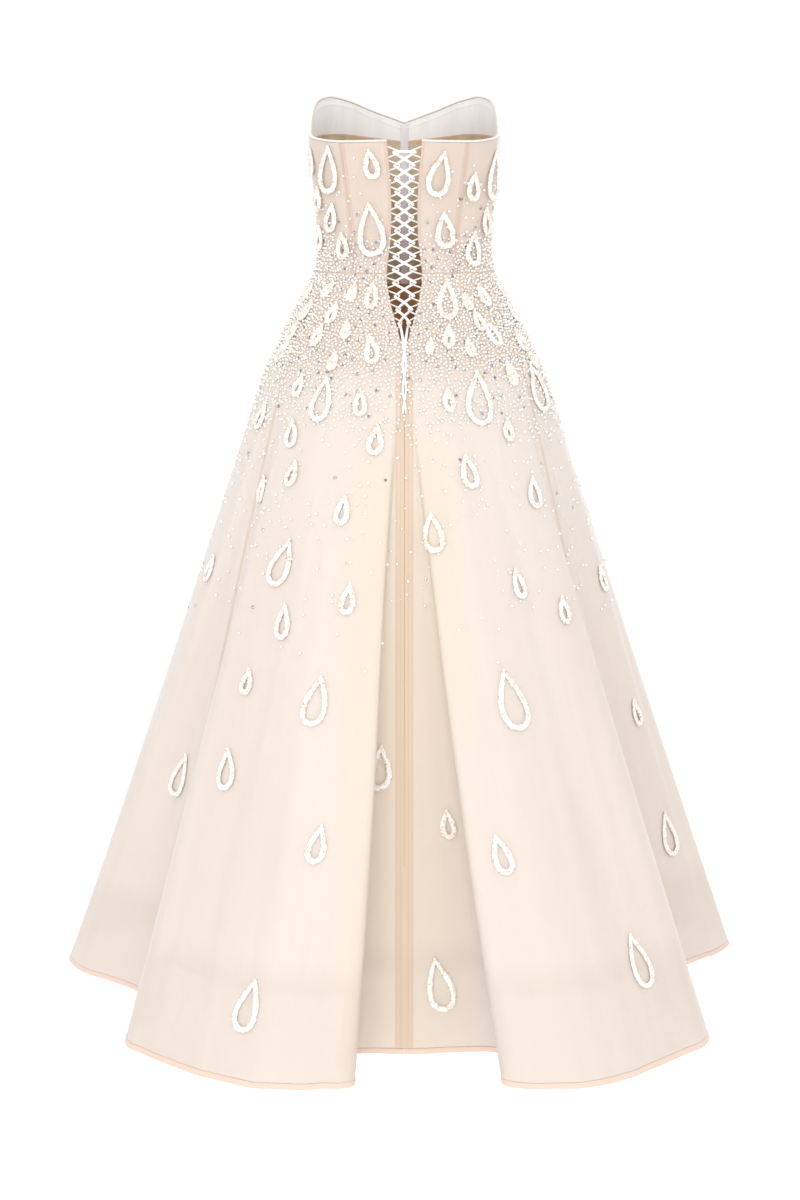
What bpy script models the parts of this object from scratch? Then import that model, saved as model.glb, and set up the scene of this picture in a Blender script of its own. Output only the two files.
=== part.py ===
"""A strapless ball gown of blush tulle, laced up the centre back and filled out as if it were worn.

Metres, +Z up. The origin is the centre of the waist, where the wearer holds the gown up, and the back of the
gown faces +Y. An angle round the gown is in degrees from the centre back and grows towards -X, the wearer's
right. The bodice is a stack of ellipses. The skirt starts from the ellipse at the hip, and its folds grow
towards the hem. Every panel is a thin wall on one of these surfaces, so neighbours meet along the same seam.
"""

import math
from bisect import bisect_right
from collections import namedtuple

import bmesh
import bpy
from mathutils import Vector
from mathutils.geometry import delaunay_2d_cdt

# Heights above the waist
WAIST_SEAM = -0.030
HIP = -0.180
HEM = -1.096
CORSET_FOOT = -0.054
CORSET_DRAW = 0.0018

# Cloth and trim
TULLE = 0.0018
LINING = 0.0012
SEAM_GAP = 0.0003
BINDING_HEIGHT = 0.008
BINDING_THICKNESS = 0.0030
TOP_BINDING_HEIGHT = 0.0035
BINDING_PROUD = 0.0006
CASING_WIDTH = 0.010
CASING_THICKNESS = 0.0020

# The body of the gown: ellipses whose depth differs at the back and the front
Section = namedtuple("Section", "height half_width back_depth front_depth")
SECTIONS = (
    Section(-0.180, 0.208, 0.172, 0.166),
    Section(-0.130, 0.184, 0.146, 0.143),
    Section(-0.090, 0.164, 0.123, 0.123),
    Section(-0.060, 0.147, 0.106, 0.110),
    Section(-0.030, 0.132, 0.094, 0.100),
    Section(0.000, 0.127, 0.089, 0.096),
    Section(0.050, 0.129, 0.091, 0.102),
    Section(0.100, 0.133, 0.096, 0.110),
    Section(0.150, 0.138, 0.102, 0.115),
    Section(0.230, 0.140, 0.108, 0.112),
)

# The cups stand out of the front and meet in a shallow hollow at the centre
CUP_ANGLE = 138.0
CUP_SPREAD = 24.0
CUP_HEIGHT = 0.125
CUP_RISE = 0.055
CUP_DEPTH = 0.020

# The top edge: level at the back, steep at the side, and a sweetheart curve at the front
TopEdge = namedtuple("TopEdge", "angle height")
TOP_EDGE = (
    TopEdge(0.0, 0.159),
    TopEdge(40.0, 0.158),
    TopEdge(70.0, 0.163),
    TopEdge(90.0, 0.172),
    TopEdge(103.0, 0.203),
    TopEdge(116.0, 0.219),
    TopEdge(130.0, 0.224),
    TopEdge(144.0, 0.219),
    TopEdge(160.0, 0.205),
    TopEdge(180.0, 0.187),
)

# The lower edge of the ivory facing inside the front
FacingEdge = namedtuple("FacingEdge", "angle height")
FACING_EDGE = (
    FacingEdge(90.0, 0.154),
    FacingEdge(116.0, 0.163),
    FacingEdge(140.0, 0.166),
    FacingEdge(160.0, 0.161),
    FacingEdge(180.0, 0.155),
)

# The open lacing gap at the centre back, down to where the skirt's seam starts
Gap = namedtuple("Gap", "height half_width")
GAP = (
    Gap(-0.180, 0.0),
    Gap(-0.138, 0.0),
    Gap(-0.119, 0.0060),
    Gap(-0.091, 0.0143),
    Gap(-0.062, 0.0218),
    Gap(-0.036, 0.0255),
    Gap(-0.008, 0.0230),
    Gap(0.022, 0.0195),
    Gap(0.057, 0.0185),
    Gap(0.104, 0.0203),
    Gap(0.160, 0.0255),
)
GAP_FADE_ANGLE = 30.0

# The bodice's seams, whose angle changes a little between the waist and the top edge
Seam = namedtuple("Seam", "waist_angle top_angle")
CENTRE_BACK = Seam(0.0, 0.0)
BACK_PRINCESS = Seam(34.0, 41.0)
SIDE = Seam(92.0, 92.0)
FRONT_PRINCESS = Seam(146.0, 140.0)
CENTRE_FRONT = Seam(180.0, 180.0)
SEAM_TOP = 0.160
BODICE_ROWS = 8
FACING_ROWS = 3

# The skirt's large folds. Each one rises from a valley to a nose, runs across its face to the other nose and
# falls to the next valley. The angles at the hip say where it dies away. A tuck moves a valley past its nose.
Fold = namedtuple(
    "Fold",
    "name hip_from hip_to hem_from hem_to valley_from nose_from third two_thirds nose_to valley_to"
    " tuck_from tuck_to",
)
FOLDS = (
    Fold("back_right", 1.5, 53, 15.3, 54.0, 0.412, 0.520, 0.566, 0.553, 0.536, 0.420, 4.5, 9.0),
    Fold("outer_right", 62, 114, 89.0, 107.0, 0.396, 0.430, 0.487, 0.527, 0.524, 0.468, -11.0, 9.0),
    Fold("front_right", 119, 147, 126.0, 146.0, 0.458, 0.500, 0.524, 0.526, 0.508, 0.462, -4.0, 4.0),
    Fold("centre_front", 152, 208, 162.0, 198.0, 0.462, 0.506, 0.528, 0.528, 0.508, 0.462, -4.0, 5.0),
    Fold("front_left", 213, 241, 215.0, 235.0, 0.460, 0.504, 0.527, 0.528, 0.506, 0.462, -4.0, 4.0),
    Fold("outer_left", 246, 298, 252.0, 271.0, 0.464, 0.512, 0.526, 0.527, 0.512, 0.420, -5.0, 17.0),
    Fold("back_left", 307, 358.5, 309.4, 351.5, 0.414, 0.512, 0.537, 0.547, 0.515, 0.402, -9.0, -4.0),
)
NOSE_HIP_STEP = 3.0
CENTRE_BACK_HEM = 0.386
MEAN_HEM = 0.500
FOLD_GROWTH = 1.25
FULL_TURN = 360.0
SKIRT_ROWS = (-0.060, -0.095, -0.135, -0.180, -0.270, -0.400, -0.560, -0.730, -0.910)

# A skirt panel gets a new column where its hem has turned or run this far, or its hip angle has grown so far
COLUMN_TURN = 28.0
COLUMN_RUN = 0.090
COLUMN_HIP_RUN = 9.0
UNDER_COLUMN_TURN = 44.0
UNDER_COLUMN_RUN = 0.150
PLAN_SAMPLES = 1440

# The underskirt follows the folds from inside, and the lining under it is a plain cone
UNDERSKIRT_TOP = -0.036
UNDERSKIRT_TOP_INSET = 0.0030
UNDERSKIRT_HIP_INSET = 0.005
UNDERSKIRT_VALLEY_INSET = 0.014
UNDERSKIRT_NOSE_INSET = 0.026
UNDERSKIRT_NOSE_TURN = 2.2
UNDERSKIRT_HEM = -0.986
UNDER_GAP_EXTRA = 0.009
UNDER_GAP_FADE = (-0.145, -0.115)
LINING_TOP = -0.042
LINING_TOP_INSET = 0.0052
LINING_HIP_INSET = 0.010
LINING_HEM = -0.945
LINING_HEM_RADIUS = 0.332
UNDER_ROWS = (-0.060, -0.090, -0.135, -0.180, -0.420, -0.740)
LINING_COLUMNS = 12
ALLOWANCE_WIDTH = 0.0125
ALLOWANCE_TOP_WIDTH = 0.004
ALLOWANCE_TOP = -0.200
ALLOWANCE_GROWTH = 0.200
ALLOWANCE_SEAT = 0.0009

# Lacing
LACE_LEVELS = 14
FIRST_LOOP = 0.141
LAST_LOOP = -0.098
LOOP_SPACING = (FIRST_LOOP - LAST_LOOP) / (LACE_LEVELS - 1)
LOOP_RADIUS = 0.00085
LOOP_TIP_SHARE = 0.32
LOOP_TUCK = 0.0030
LOOP_DEPTH = 0.0031
LACE_RADIUS = 0.0015
LACE_HOOK_GAP = 0.0034
LACE_NEAR = 0.0014
LACE_STEP = 0.0012
LACE_CLEARANCE = 0.0036
LACE_CROSSING = 0.0020
LACE_LEAVE_SIDE = 0.0052
LACE_LEAVE_DROP = 0.0065
LACE_END = -0.221
TWIST_TOP = -0.120
TWIST_RADIUS = 0.0021
TWIST_SEAT = 0.0046
TWIST_TURNS = 1.5
TWIST_STEPS = 10

# Padded drops, as seen from behind or from the front: the middle's distance to the right, and its height
Drop = namedtuple("Drop", "across height length lean")
BACK_BODICE_DROPS = (
    Drop(-0.108, 0.118, 0.072, 6),
    Drop(-0.047, 0.126, 0.046, -8),
    Drop(-0.047, 0.034, 0.080, -6),
    Drop(0.050, 0.112, 0.068, 10),
    Drop(0.098, 0.094, 0.045, 4),
    Drop(0.057, 0.033, 0.056, -4),
    Drop(0.128, 0.110, 0.076, 0),
    Drop(0.117, 0.045, 0.044, -6),
    Drop(-0.133, 0.128, 0.044, 0),
    Drop(-0.123, 0.076, 0.040, 4),
    Drop(-0.104, 0.050, 0.046, 10),
    Drop(-0.088, 0.010, 0.042, -8),
    Drop(-0.121, 0.020, 0.040, 0),
    Drop(0.098, 0.006, 0.054, 6),
)
BACK_SKIRT_DROPS = (
    Drop(-0.108, -0.052, 0.030, 30),
    Drop(-0.138, -0.058, 0.030, 20),
    Drop(-0.073, -0.054, 0.031, 0),
    Drop(-0.046, -0.059, 0.040, 6),
    Drop(0.061, -0.064, 0.060, 8),
    Drop(0.138, -0.052, 0.030, 0),
    Drop(0.112, -0.060, 0.036, -12),
    Drop(-0.046, -0.132, 0.044, -8),
    Drop(0.063, -0.115, 0.036, 4),
    Drop(0.124, -0.112, 0.044, -24),
    Drop(-0.174, -0.141, 0.040, 24),
    Drop(-0.116, -0.202, 0.066, 4),
    Drop(-0.150, -0.186, 0.036, 10),
    Drop(-0.062, -0.205, 0.041, -6),
    Drop(-0.040, -0.255, 0.046, 4),
    Drop(0.062, -0.201, 0.036, 0),
    Drop(0.105, -0.200, 0.080, 8),
    Drop(0.151, -0.170, 0.036, -8),
    Drop(0.192, -0.193, 0.074, 0),
    Drop(-0.206, -0.234, 0.044, 6),
    Drop(-0.160, -0.252, 0.044, -10),
    Drop(-0.158, -0.306, 0.040, 8),
    Drop(0.230, -0.243, 0.046, 0),
    Drop(0.147, -0.246, 0.036, 10),
    Drop(-0.203, -0.335, 0.042, -6),
    Drop(-0.086, -0.351, 0.044, 4),
    Drop(0.090, -0.299, 0.050, -4),
    Drop(0.184, -0.334, 0.048, 10),
    Drop(0.040, -0.380, 0.058, 0),
    Drop(-0.285, -0.461, 0.044, 0),
    Drop(-0.172, -0.427, 0.070, 12),
    Drop(-0.170, -0.505, 0.052, -6),
    Drop(-0.078, -0.469, 0.045, 4),
    Drop(0.160, -0.453, 0.045, -4),
    Drop(0.225, -0.496, 0.042, 6),
    Drop(0.294, -0.483, 0.042, 0),
    Drop(-0.220, -0.590, 0.040, 0),
    Drop(-0.121, -0.603, 0.070, 6),
    Drop(0.147, -0.602, 0.084, -6),
    Drop(0.350, -0.690, 0.045, 0),
    Drop(-0.248, -0.708, 0.060, -10),
    Drop(-0.330, -0.764, 0.070, 8),
    Drop(-0.034, -0.704, 0.066, 0),
    Drop(-0.118, -0.787, 0.054, 8),
    Drop(0.061, -0.782, 0.044, 0),
    Drop(0.132, -0.800, 0.055, -10),
    Drop(0.405, -0.885, 0.074, 6),
    Drop(0.324, -0.960, 0.076, -6),
    Drop(-0.210, -0.995, 0.072, 10),
    Drop(0.049, -1.000, 0.078, -8),
)
FRONT_BODICE_DROPS = (
    Drop(-0.030, 0.118, 0.056, 8),
    Drop(0.034, 0.060, 0.070, -6),
    Drop(-0.034, 0.020, 0.048, 4),
    Drop(0.068, 0.150, 0.052, -10),
    Drop(-0.110, 0.112, 0.052, 10),
    Drop(0.096, 0.052, 0.054, 6),
    Drop(-0.092, 0.024, 0.046, -6),
)
FRONT_SKIRT_DROPS = (
    Drop(-0.048, -0.080, 0.048, 6),
    Drop(0.052, -0.090, 0.042, -6),
    Drop(0.128, -0.150, 0.056, 4),
    Drop(-0.030, -0.170, 0.060, -8),
    Drop(-0.130, -0.215, 0.066, 10),
    Drop(0.052, -0.250, 0.070, 0),
    Drop(0.160, -0.320, 0.050, 8),
    Drop(-0.060, -0.360, 0.048, -4),
    Drop(-0.190, -0.430, 0.060, 0),
    Drop(0.070, -0.480, 0.052, 6),
    Drop(-0.080, -0.600, 0.074, -8),
    Drop(0.260, -0.620, 0.060, 4),
    Drop(0.040, -0.760, 0.060, 0),
    Drop(-0.270, -0.800, 0.066, 8),
    Drop(0.220, -0.900, 0.072, -6),
    Drop(-0.060, -0.960, 0.070, 6),
)
DROP_WIDTH = 0.54
DROP_TUBE = 0.0075
DROP_RAISE = 0.0050
DROP_POINTS = 8
DROP_TAPER = 1.3
DROP_INNER_FALL = 0.00125
DROP_MARGIN = 1.25
SMALL_DROP = 0.041

BLUSH = (0.90, 0.79, 0.72, 1.0)
IVORY = (0.86, 0.83, 0.78, 1.0)
TAN = (0.55, 0.40, 0.28, 1.0)
WHITE = (0.93, 0.92, 0.90, 1.0)
ROSE = (0.78, 0.58, 0.48, 1.0)
LILAC = (0.72, 0.70, 0.74, 1.0)

# How finely the surfaces are measured and searched
SHARP_ANGLE = math.radians(50)
ANGLE_STEP = 0.02
PLACE_STEP = 0.002
HEIGHT_STEP = 0.001
WALK_STEPS = 3
HIP_SAMPLES = 72
FLAT_HEM_GROWTH = 3.8
DROP_SEARCH_STEPS = 240
LINK_SAMPLES = 16
MERGE_DISTANCE = 1e-7

# A surface gives the point at a place and height. Its flat map is used only to divide panels into triangles.
Surface = namedtuple("Surface", "point flat step")


def clear_scene():
    """Remove every object the file opened with."""
    for thing in list(bpy.data.objects):
        bpy.data.objects.remove(thing, do_unlink=True)


def blend(start, end, share):
    """Return the value a share of the way from start to end."""
    return start + (end - start) * share


def clamp(value, low, high):
    """Return the value held between two limits."""
    return min(max(value, low), high)


def smooth_value(places, values, where):
    """Read a smooth curve through the values, which never overshoots between two of them."""
    where = clamp(where, places[0], places[-1])
    index = min(bisect_right(places, where) - 1, len(places) - 2)
    slopes = [(values[i + 1] - values[i]) / (places[i + 1] - places[i]) for i in range(len(places) - 1)]

    def slope_at(i):
        if i == 0:
            return slopes[0]
        if i == len(places) - 1:
            return slopes[-1]
        before, after = slopes[i - 1], slopes[i]
        return 2 * before * after / (before + after) if before * after > 0 else 0.0

    span = places[index + 1] - places[index]
    share = (where - places[index]) / span
    rise = share * share * (3 - 2 * share)
    leave = share * (1 - share) ** 2 * span * slope_at(index)
    arrive = -share * share * (1 - share) * span * slope_at(index + 1)
    return blend(values[index], values[index + 1], rise) + leave + arrive


def table_value(table, column, where):
    """Read one column of a table at a place in the table's first column."""
    return smooth_value([row[0] for row in table], [getattr(row, column) for row in table], where)


def front_angle(angle):
    """Fold an angle onto the right half, because the two sides of the gown match."""
    angle = angle % FULL_TURN
    return min(angle, FULL_TURN - angle)


def top_height(angle):
    return table_value(TOP_EDGE, "height", front_angle(angle))


def facing_height(angle):
    return table_value(FACING_EDGE, "height", front_angle(angle))


def gap_half_width(height):
    return table_value(GAP, "half_width", height)


def body_ellipse(angle, height):
    """Return the point of the gown's body at an angle and height, without the lacing gap."""
    turn = math.radians(angle)
    half_width = table_value(SECTIONS, "half_width", height)
    depth_name = "back_depth" if math.cos(turn) > 0 else "front_depth"
    depth = table_value(SECTIONS, depth_name, height)
    cup = (front_angle(angle) - CUP_ANGLE) / CUP_SPREAD
    rise = (height - CUP_HEIGHT) / CUP_RISE
    bulge = 1 + CUP_DEPTH / depth * math.exp(-cup * cup - rise * rise)
    return Vector((-half_width * math.sin(turn) * bulge, depth * math.cos(turn) * bulge, height))


def open_gap(angle, height, extra=0.0):
    """Turn an angle near the centre back away from it, so that angle zero lies on the lacing gap's edge."""
    half_width = gap_half_width(height) + extra
    edge = math.degrees(math.asin(half_width / table_value(SECTIONS, "half_width", height)))
    if angle < GAP_FADE_ANGLE:
        return angle + edge * (1 - angle / GAP_FADE_ANGLE)
    if angle > FULL_TURN - GAP_FADE_ANGLE:
        return angle - edge * (1 - (FULL_TURN - angle) / GAP_FADE_ANGLE)
    return angle


def body_point(angle, height):
    return body_ellipse(open_gap(angle, height), height)


def corset_point(angle, height):
    """The corset's lining draws in towards the waist seam and goes on straight down below it."""
    point = body_ellipse(angle, max(height, WAIST_SEAM))
    drawn = 1 - CORSET_DRAW * clamp(height / WAIST_SEAM, 0.0, 1.0) / point.xy.length
    return Vector((point.x * drawn, point.y * drawn, height))


def lift(surface, place, height, out):
    """Return a point of a surface, moved out level until it lies a distance off the cloth."""
    here = surface.point(place, height)
    along = surface.point(place + surface.step, height) - surface.point(place - surface.step, height)
    up = surface.point(place, height + HEIGHT_STEP) - surface.point(place, height - HEIGHT_STEP)
    normal = along.cross(up).normalized()
    level = Vector((normal.x, normal.y, 0.0))
    return here + level * out / level.length_squared


def walk(surface, place, height, distance):
    """Return the place a distance along the cloth from another place at the same height."""
    for _ in range(WALK_STEPS):
        along = surface.point(place + surface.step, height) - surface.point(place - surface.step, height)
        place += distance / WALK_STEPS / (along.length / (2 * surface.step))
    return place


def plan_rows(valley_inset, nose_inset, nose_turn, centre_radius):
    """List the hem's plan as hip angle, x and y, fold by fold, moved inwards by the insets."""
    rows = [(0.0, 0.0, centre_radius)]
    for fold in FOLDS:
        face = fold.hem_to - fold.hem_from - 2 * nose_turn
        hip_face = fold.hip_to - fold.hip_from - 2 * NOSE_HIP_STEP
        hip_nose = fold.hip_from + NOSE_HIP_STEP
        hem_nose = fold.hem_from + nose_turn
        polar = (
            (fold.hip_from, hem_nose + fold.tuck_from, fold.valley_from - valley_inset),
            (hip_nose, hem_nose, fold.nose_from - nose_inset),
            (hip_nose + hip_face / 3, hem_nose + face / 3, fold.third - nose_inset),
            (hip_nose + hip_face * 2 / 3, hem_nose + face * 2 / 3, fold.two_thirds - nose_inset),
            (hip_nose + hip_face, hem_nose + face, fold.nose_to - nose_inset),
            (fold.hip_to, hem_nose + face + fold.tuck_to, fold.valley_to - valley_inset),
        )
        for hip_angle, hem_angle, radius in polar:
            turn = math.radians(hem_angle)
            rows.append((hip_angle, -radius * math.sin(turn), radius * math.cos(turn)))
    rows.append((FULL_TURN, 0.0, centre_radius))
    return rows


class HemPlan:
    """A closed smooth hem through plan rows. A chord's share of its length grows with the chord's root."""

    def __init__(self, rows):
        self.rows = rows
        self.places = [0.0]
        for before, after in zip(rows, rows[1:]):
            chord = math.hypot(after[1] - before[1], after[2] - before[2])
            self.places.append(self.places[-1] + math.sqrt(chord))
        self.length = self.places[-1]
        self.hips = [row[0] for row in rows]

    def hip_angle(self, place):
        return smooth_value(self.places, self.hips, clamp(place, 0.0, self.length))

    def slope(self, index, column):
        """Return the curve's slope at a row, from its two neighbours round the closed hem."""
        last = len(self.rows) - 1
        before = index - 1 if index > 0 else last - 1
        after = index + 1 if index < last else 1
        step_before = self.places[before + 1] - self.places[before]
        step_after = self.places[after] - self.places[after - 1]
        rise_before = (self.rows[before + 1][column] - self.rows[before][column]) / step_before
        rise_after = (self.rows[after][column] - self.rows[after - 1][column]) / step_after
        return (rise_before * step_after + rise_after * step_before) / (step_before + step_after)

    def coordinate(self, place, column):
        index = clamp(bisect_right(self.places, place) - 1, 0, len(self.rows) - 2)
        span = self.places[index + 1] - self.places[index]
        share = (place - self.places[index]) / span
        rise = share * share * (3 - 2 * share)
        leave = share * (1 - share) ** 2 * span * self.slope(index, column)
        arrive = -share * share * (1 - share) * span * self.slope(index + 1, column)
        return blend(self.rows[index][column], self.rows[index + 1][column], rise) + leave + arrive

    def point(self, place):
        """Return the hem's point. A place past either end runs round into the other half."""
        place = place % self.length if not 0 <= place <= self.length else place
        return Vector((self.coordinate(place, 1), self.coordinate(place, 2), 0.0))

    def columns(self, start, end, turn_limit, run_limit):
        """Divide a stretch of the hem where it has turned or run far enough."""
        steps = max(2, round(PLAN_SAMPLES * (end - start) / self.length))
        marks = [start]
        turned = 0.0
        run = 0.0
        for index in range(1, steps):
            here = blend(start, end, index / steps)
            before = self.point(here) - self.point(here - (end - start) / steps)
            after = self.point(here + (end - start) / steps) - self.point(here)
            turned += math.degrees(before.angle(after, 0.0))
            run += before.length
            hip_run = self.hip_angle(here) - self.hip_angle(marks[-1])
            if turned > turn_limit or run > run_limit or hip_run > COLUMN_HIP_RUN:
                marks.append(here)
                turned = 0.0
                run = 0.0
        if run < run_limit / 4 and turned < turn_limit / 2 and len(marks) > 1:
            marks.pop()
        return marks + [end]


def skirt_surface(plan, middle, inset_at, hem, extra_gap_at):
    """Make the surface that leaves the body ellipse at the hip and reaches the plan's folds at the hem."""
    hips = [body_ellipse(FULL_TURN * index / HIP_SAMPLES, HIP) for index in range(HIP_SAMPLES + 1)]
    hip_length = sum((after - before).length for before, after in zip(hips, hips[1:]))

    def point(place, height):
        angle = open_gap(plan.hip_angle(place), height, extra_gap_at(height))
        body = body_ellipse(angle, max(height, HIP))
        shrink = 1 - inset_at(max(height, HIP)) / Vector((body.x, body.y)).length
        top = Vector((body.x * shrink, body.y * shrink, 0.0))
        share = max(0.0, (HIP - height) / (HIP - hem))
        turn = math.radians(angle)
        mean = Vector((-MEAN_HEM * math.sin(turn), MEAN_HEM * math.cos(turn), 0.0))
        folds = plan.point(place) - mean
        spot = top.lerp(mean, share) + folds * share ** FOLD_GROWTH
        return Vector((spot.x, spot.y, height))

    def flat(place, height):
        share = clamp((HIP - height) / (HIP - hem), 0.0, 1.0)
        scale = blend(hip_length, FLAT_HEM_GROWTH * hip_length, share) / plan.length
        return Vector(((place - middle) * scale, height))

    return Surface(point, flat, PLACE_STEP)


def body_flat(angle, height):
    return Vector((math.radians(angle) * SECTIONS[-1].half_width, height))


BODY = Surface(body_point, body_flat, ANGLE_STEP)
CLOSED_BODY = Surface(body_ellipse, body_flat, ANGLE_STEP)
CORSET = Surface(corset_point, body_flat, ANGLE_STEP)


def drop_size(drop, part):
    """Return the half width and half length of a drop's outline, crest or inner edge, part 0, 1 or 2."""
    trim = DROP_TUBE * part / 2
    return drop.length * DROP_WIDTH / 2 - trim, drop.length / 2 - trim * DROP_TAPER


def drop_ring(surface, place, drop, part, grow=1.0):
    """List the places and heights round one edge of a drop, from its tip."""
    half_width, half_length = drop_size(drop, part)
    lean = math.radians(drop.lean)
    ring = []
    for index in range(DROP_POINTS):
        turn = 2 * math.pi * index / DROP_POINTS
        side = grow * half_width * math.sin(turn) * math.sin(turn / 2) ** DROP_TAPER * DROP_TAPER
        rise = grow * half_length * math.cos(turn) - part * DROP_INNER_FALL
        height = drop.height + rise * math.cos(lean) - side * math.sin(lean)
        distance = side * math.cos(lean) + rise * math.sin(lean)
        ring.append((walk(surface, place, height, distance), height))
    return ring


def find_drop(surface, drop, start, end, facing):
    """Find the place where a drop sits: on its line across the gown, on the layer nearest to the viewer."""
    best = None
    x = -drop.across * facing
    for index in range(DROP_SEARCH_STEPS):
        here = blend(start, end, index / DROP_SEARCH_STEPS)
        there = blend(start, end, (index + 1) / DROP_SEARCH_STEPS)
        a, b = surface.point(here, drop.height), surface.point(there, drop.height)
        if (a.x - x) * (b.x - x) > 0 or a.y * facing < 0:
            continue
        if best is None or a.y * facing > best[0]:
            share = (x - a.x) / (b.x - a.x)
            best = (a.y * facing, blend(here, there, share))
    return best


def inside(point, ring):
    """Say whether a flat point lies inside a closed ring."""
    found = False
    for (ax, ay), (bx, by) in zip(ring, ring[1:] + ring[:1]):
        if (ay > point[1]) != (by > point[1]):
            if point[0] < ax + (point[1] - ay) * (bx - ax) / (by - ay):
                found = not found
    return found


def perimeter(grid):
    """List the row and column of each point round the edge of a grid."""
    last_row, last_column = len(grid) - 1, len(grid[0]) - 1
    edge = [(0, column) for column in range(last_column)]
    edge += [(row, last_column) for row in range(last_row)]
    edge += [(last_row, column) for column in range(last_column, 0, -1)]
    edge += [(row, 0) for row in range(last_row, 0, -1)]
    return edge


def triangles(name, surface, spots, loop, edges):
    """Divide a panel's flat map into triangles between its points, and leave out those past its edge."""
    flat = [surface.flat(*spot) for spot in spots]
    outline = [tuple(flat[index]) for index in loop]
    corners, _, faces, origins, _, _ = delaunay_2d_cdt(flat, edges, [], 0, MERGE_DISTANCE, True)
    crossings = [corner for corner, origin in zip(corners, origins) if not origin]
    if crossings:
        raise ValueError(f"{name}: outlines cross at height {[round(c.y, 3) for c in crossings]}")
    kept = [face for face in faces if inside(sum((corners[c] for c in face), Vector((0, 0))) / 3, outline)]
    return [tuple(origins[corner][0] for corner in face) for face in kept]


def wall(name, surface, grid, outer, inner, colour, drops=()):
    """Build a panel as one closed wall: drops raised in its outer points, and a plain inside."""
    width = len(grid[0])
    number = {(row, column): row * width + column for row in range(len(grid)) for column in range(width)}
    spots = [spot for line in grid for spot in line]
    loop = [number[key] for key in perimeter(grid)]
    rim = set(loop)
    links = [(number[r, c], number[r, c + 1]) for r in range(len(grid)) for c in range(width - 1)]
    links += [(number[r, c], number[r + 1, c]) for r in range(len(grid) - 1) for c in range(width)]

    guards = []
    for place, drop in drops:
        ring = drop_ring(surface, place, drop, 0, DROP_MARGIN)
        guards.append([tuple(surface.flat(*spot)) for spot in ring])

    def blocked(flat):
        return any(inside(flat, guard) for guard in guards)

    keep = [index in rim or not blocked(surface.flat(*spot)) for index, spot in enumerate(spots)]
    outer_links = []
    for a, b in links:
        if not (keep[a] and keep[b]):
            continue
        ends = surface.flat(*spots[a]), surface.flat(*spots[b])
        samples = [ends[0].lerp(ends[1], step / LINK_SAMPLES) for step in range(1, LINK_SAMPLES)]
        if not any(blocked(sample) for sample in samples):
            outer_links.append((a, b))

    outer_number = {}
    outer_spots = []
    heights = []
    for index, spot in enumerate(spots):
        if keep[index]:
            outer_number[index] = len(outer_spots)
            outer_spots.append(spot)
            heights.append(outer)
    outer_links = [(outer_number[a], outer_number[b]) for a, b in outer_links]
    for place, drop in drops:
        parts = (0, 1, 2) if drop.length > SMALL_DROP else (0, 1)
        for part in parts:
            ring = drop_ring(surface, place, drop, part)
            first = len(outer_spots)
            outer_spots += ring
            heights += [outer + (DROP_RAISE if part == 1 else 0.0)] * DROP_POINTS
            outer_links += [
                (first + index, first + (index + 1) % DROP_POINTS) for index in range(DROP_POINTS)
            ]

    outer_loop = [outer_number[index] for index in loop]
    outer_faces = triangles(name, surface, outer_spots, outer_loop, outer_links)
    inner_faces = triangles(name, surface, spots, loop, links)
    points = [lift(surface, *spot, high) for spot, high in zip(outer_spots, heights)]
    first = len(points)
    points += [lift(surface, *spot, inner) for spot in spots]
    faces = [tuple(face) for face in outer_faces]
    faces += [tuple(first + corner for corner in reversed(face)) for face in inner_faces]
    for a, b in zip(loop, loop[1:] + loop[:1]):
        faces.append((outer_number[b], outer_number[a], first + a, first + b))

    mesh = bpy.data.meshes.new(name)
    mesh.from_pydata(points, [], faces)
    return finish(name, mesh, colour)


def finish(name, mesh, colour):
    """Turn a mesh into an object in the gown's collection, with its own material and even shading."""
    shape = bmesh.new()
    shape.from_mesh(mesh)
    bmesh.ops.recalc_face_normals(shape, faces=shape.faces)
    shape.to_mesh(mesh)
    shape.free()
    mesh.shade_smooth()
    mesh.set_sharp_from_angle(angle=SHARP_ANGLE)
    return place_object(name, mesh, colour)


def place_object(name, data, colour, roughness=0.85):
    """Link an object with its own material into the gown's collection."""
    thing = bpy.data.objects.new(name, data)
    material = bpy.data.materials.new(name)
    material.use_nodes = True
    shader = material.node_tree.nodes["Principled BSDF"]
    shader.inputs["Base Color"].default_value = colour
    shader.inputs["Roughness"].default_value = roughness
    shader.inputs["Metallic"].default_value = 0.0
    data.materials.append(material)
    gown_collection().objects.link(thing)
    return thing


def gown_collection():
    collection = bpy.data.collections.get("tulle_gown")
    if collection is None:
        collection = bpy.data.collections.new("tulle_gown")
        bpy.context.scene.collection.children.link(collection)
    return collection


def both_sides(name):
    """Name a piece's two halves, with 1 for the wearer's right and -1 for the left."""
    return (name + "_right", 1), (name + "_left", -1)


def seam_angle(seam, height):
    share = (height - WAIST_SEAM) / (SEAM_TOP - WAIST_SEAM)
    return blend(seam.waist_angle, seam.top_angle, share)


def side_angle(angle, side):
    """Count an angle from the centre back on the right side, or back from a full turn on the left."""
    return angle if side > 0 else FULL_TURN - angle


def front_levels(angle, bottom, top):
    """List the heights of a front panel's rows at an angle, with one at the facing's lower edge."""
    edge = facing_height(angle)
    below = BODICE_ROWS - FACING_ROWS
    levels = [blend(bottom, edge, row / below) for row in range(below + 1)]
    return levels + [blend(edge, top, row / FACING_ROWS) for row in range(1, FACING_ROWS + 1)]


def back_levels(bottom, top):
    return [blend(bottom, top, row / BODICE_ROWS) for row in range(BODICE_ROWS + 1)]


def column_line(seams, side, share, levels):
    """List the places of a column of a bodice panel, a share of the way from its first seam to its second."""
    start, end = seams
    angles = [blend(seam_angle(start, height), seam_angle(end, height), share) for height in levels]
    return [(side_angle(angle, side), height) for angle, height in zip(angles, levels)]


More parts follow.
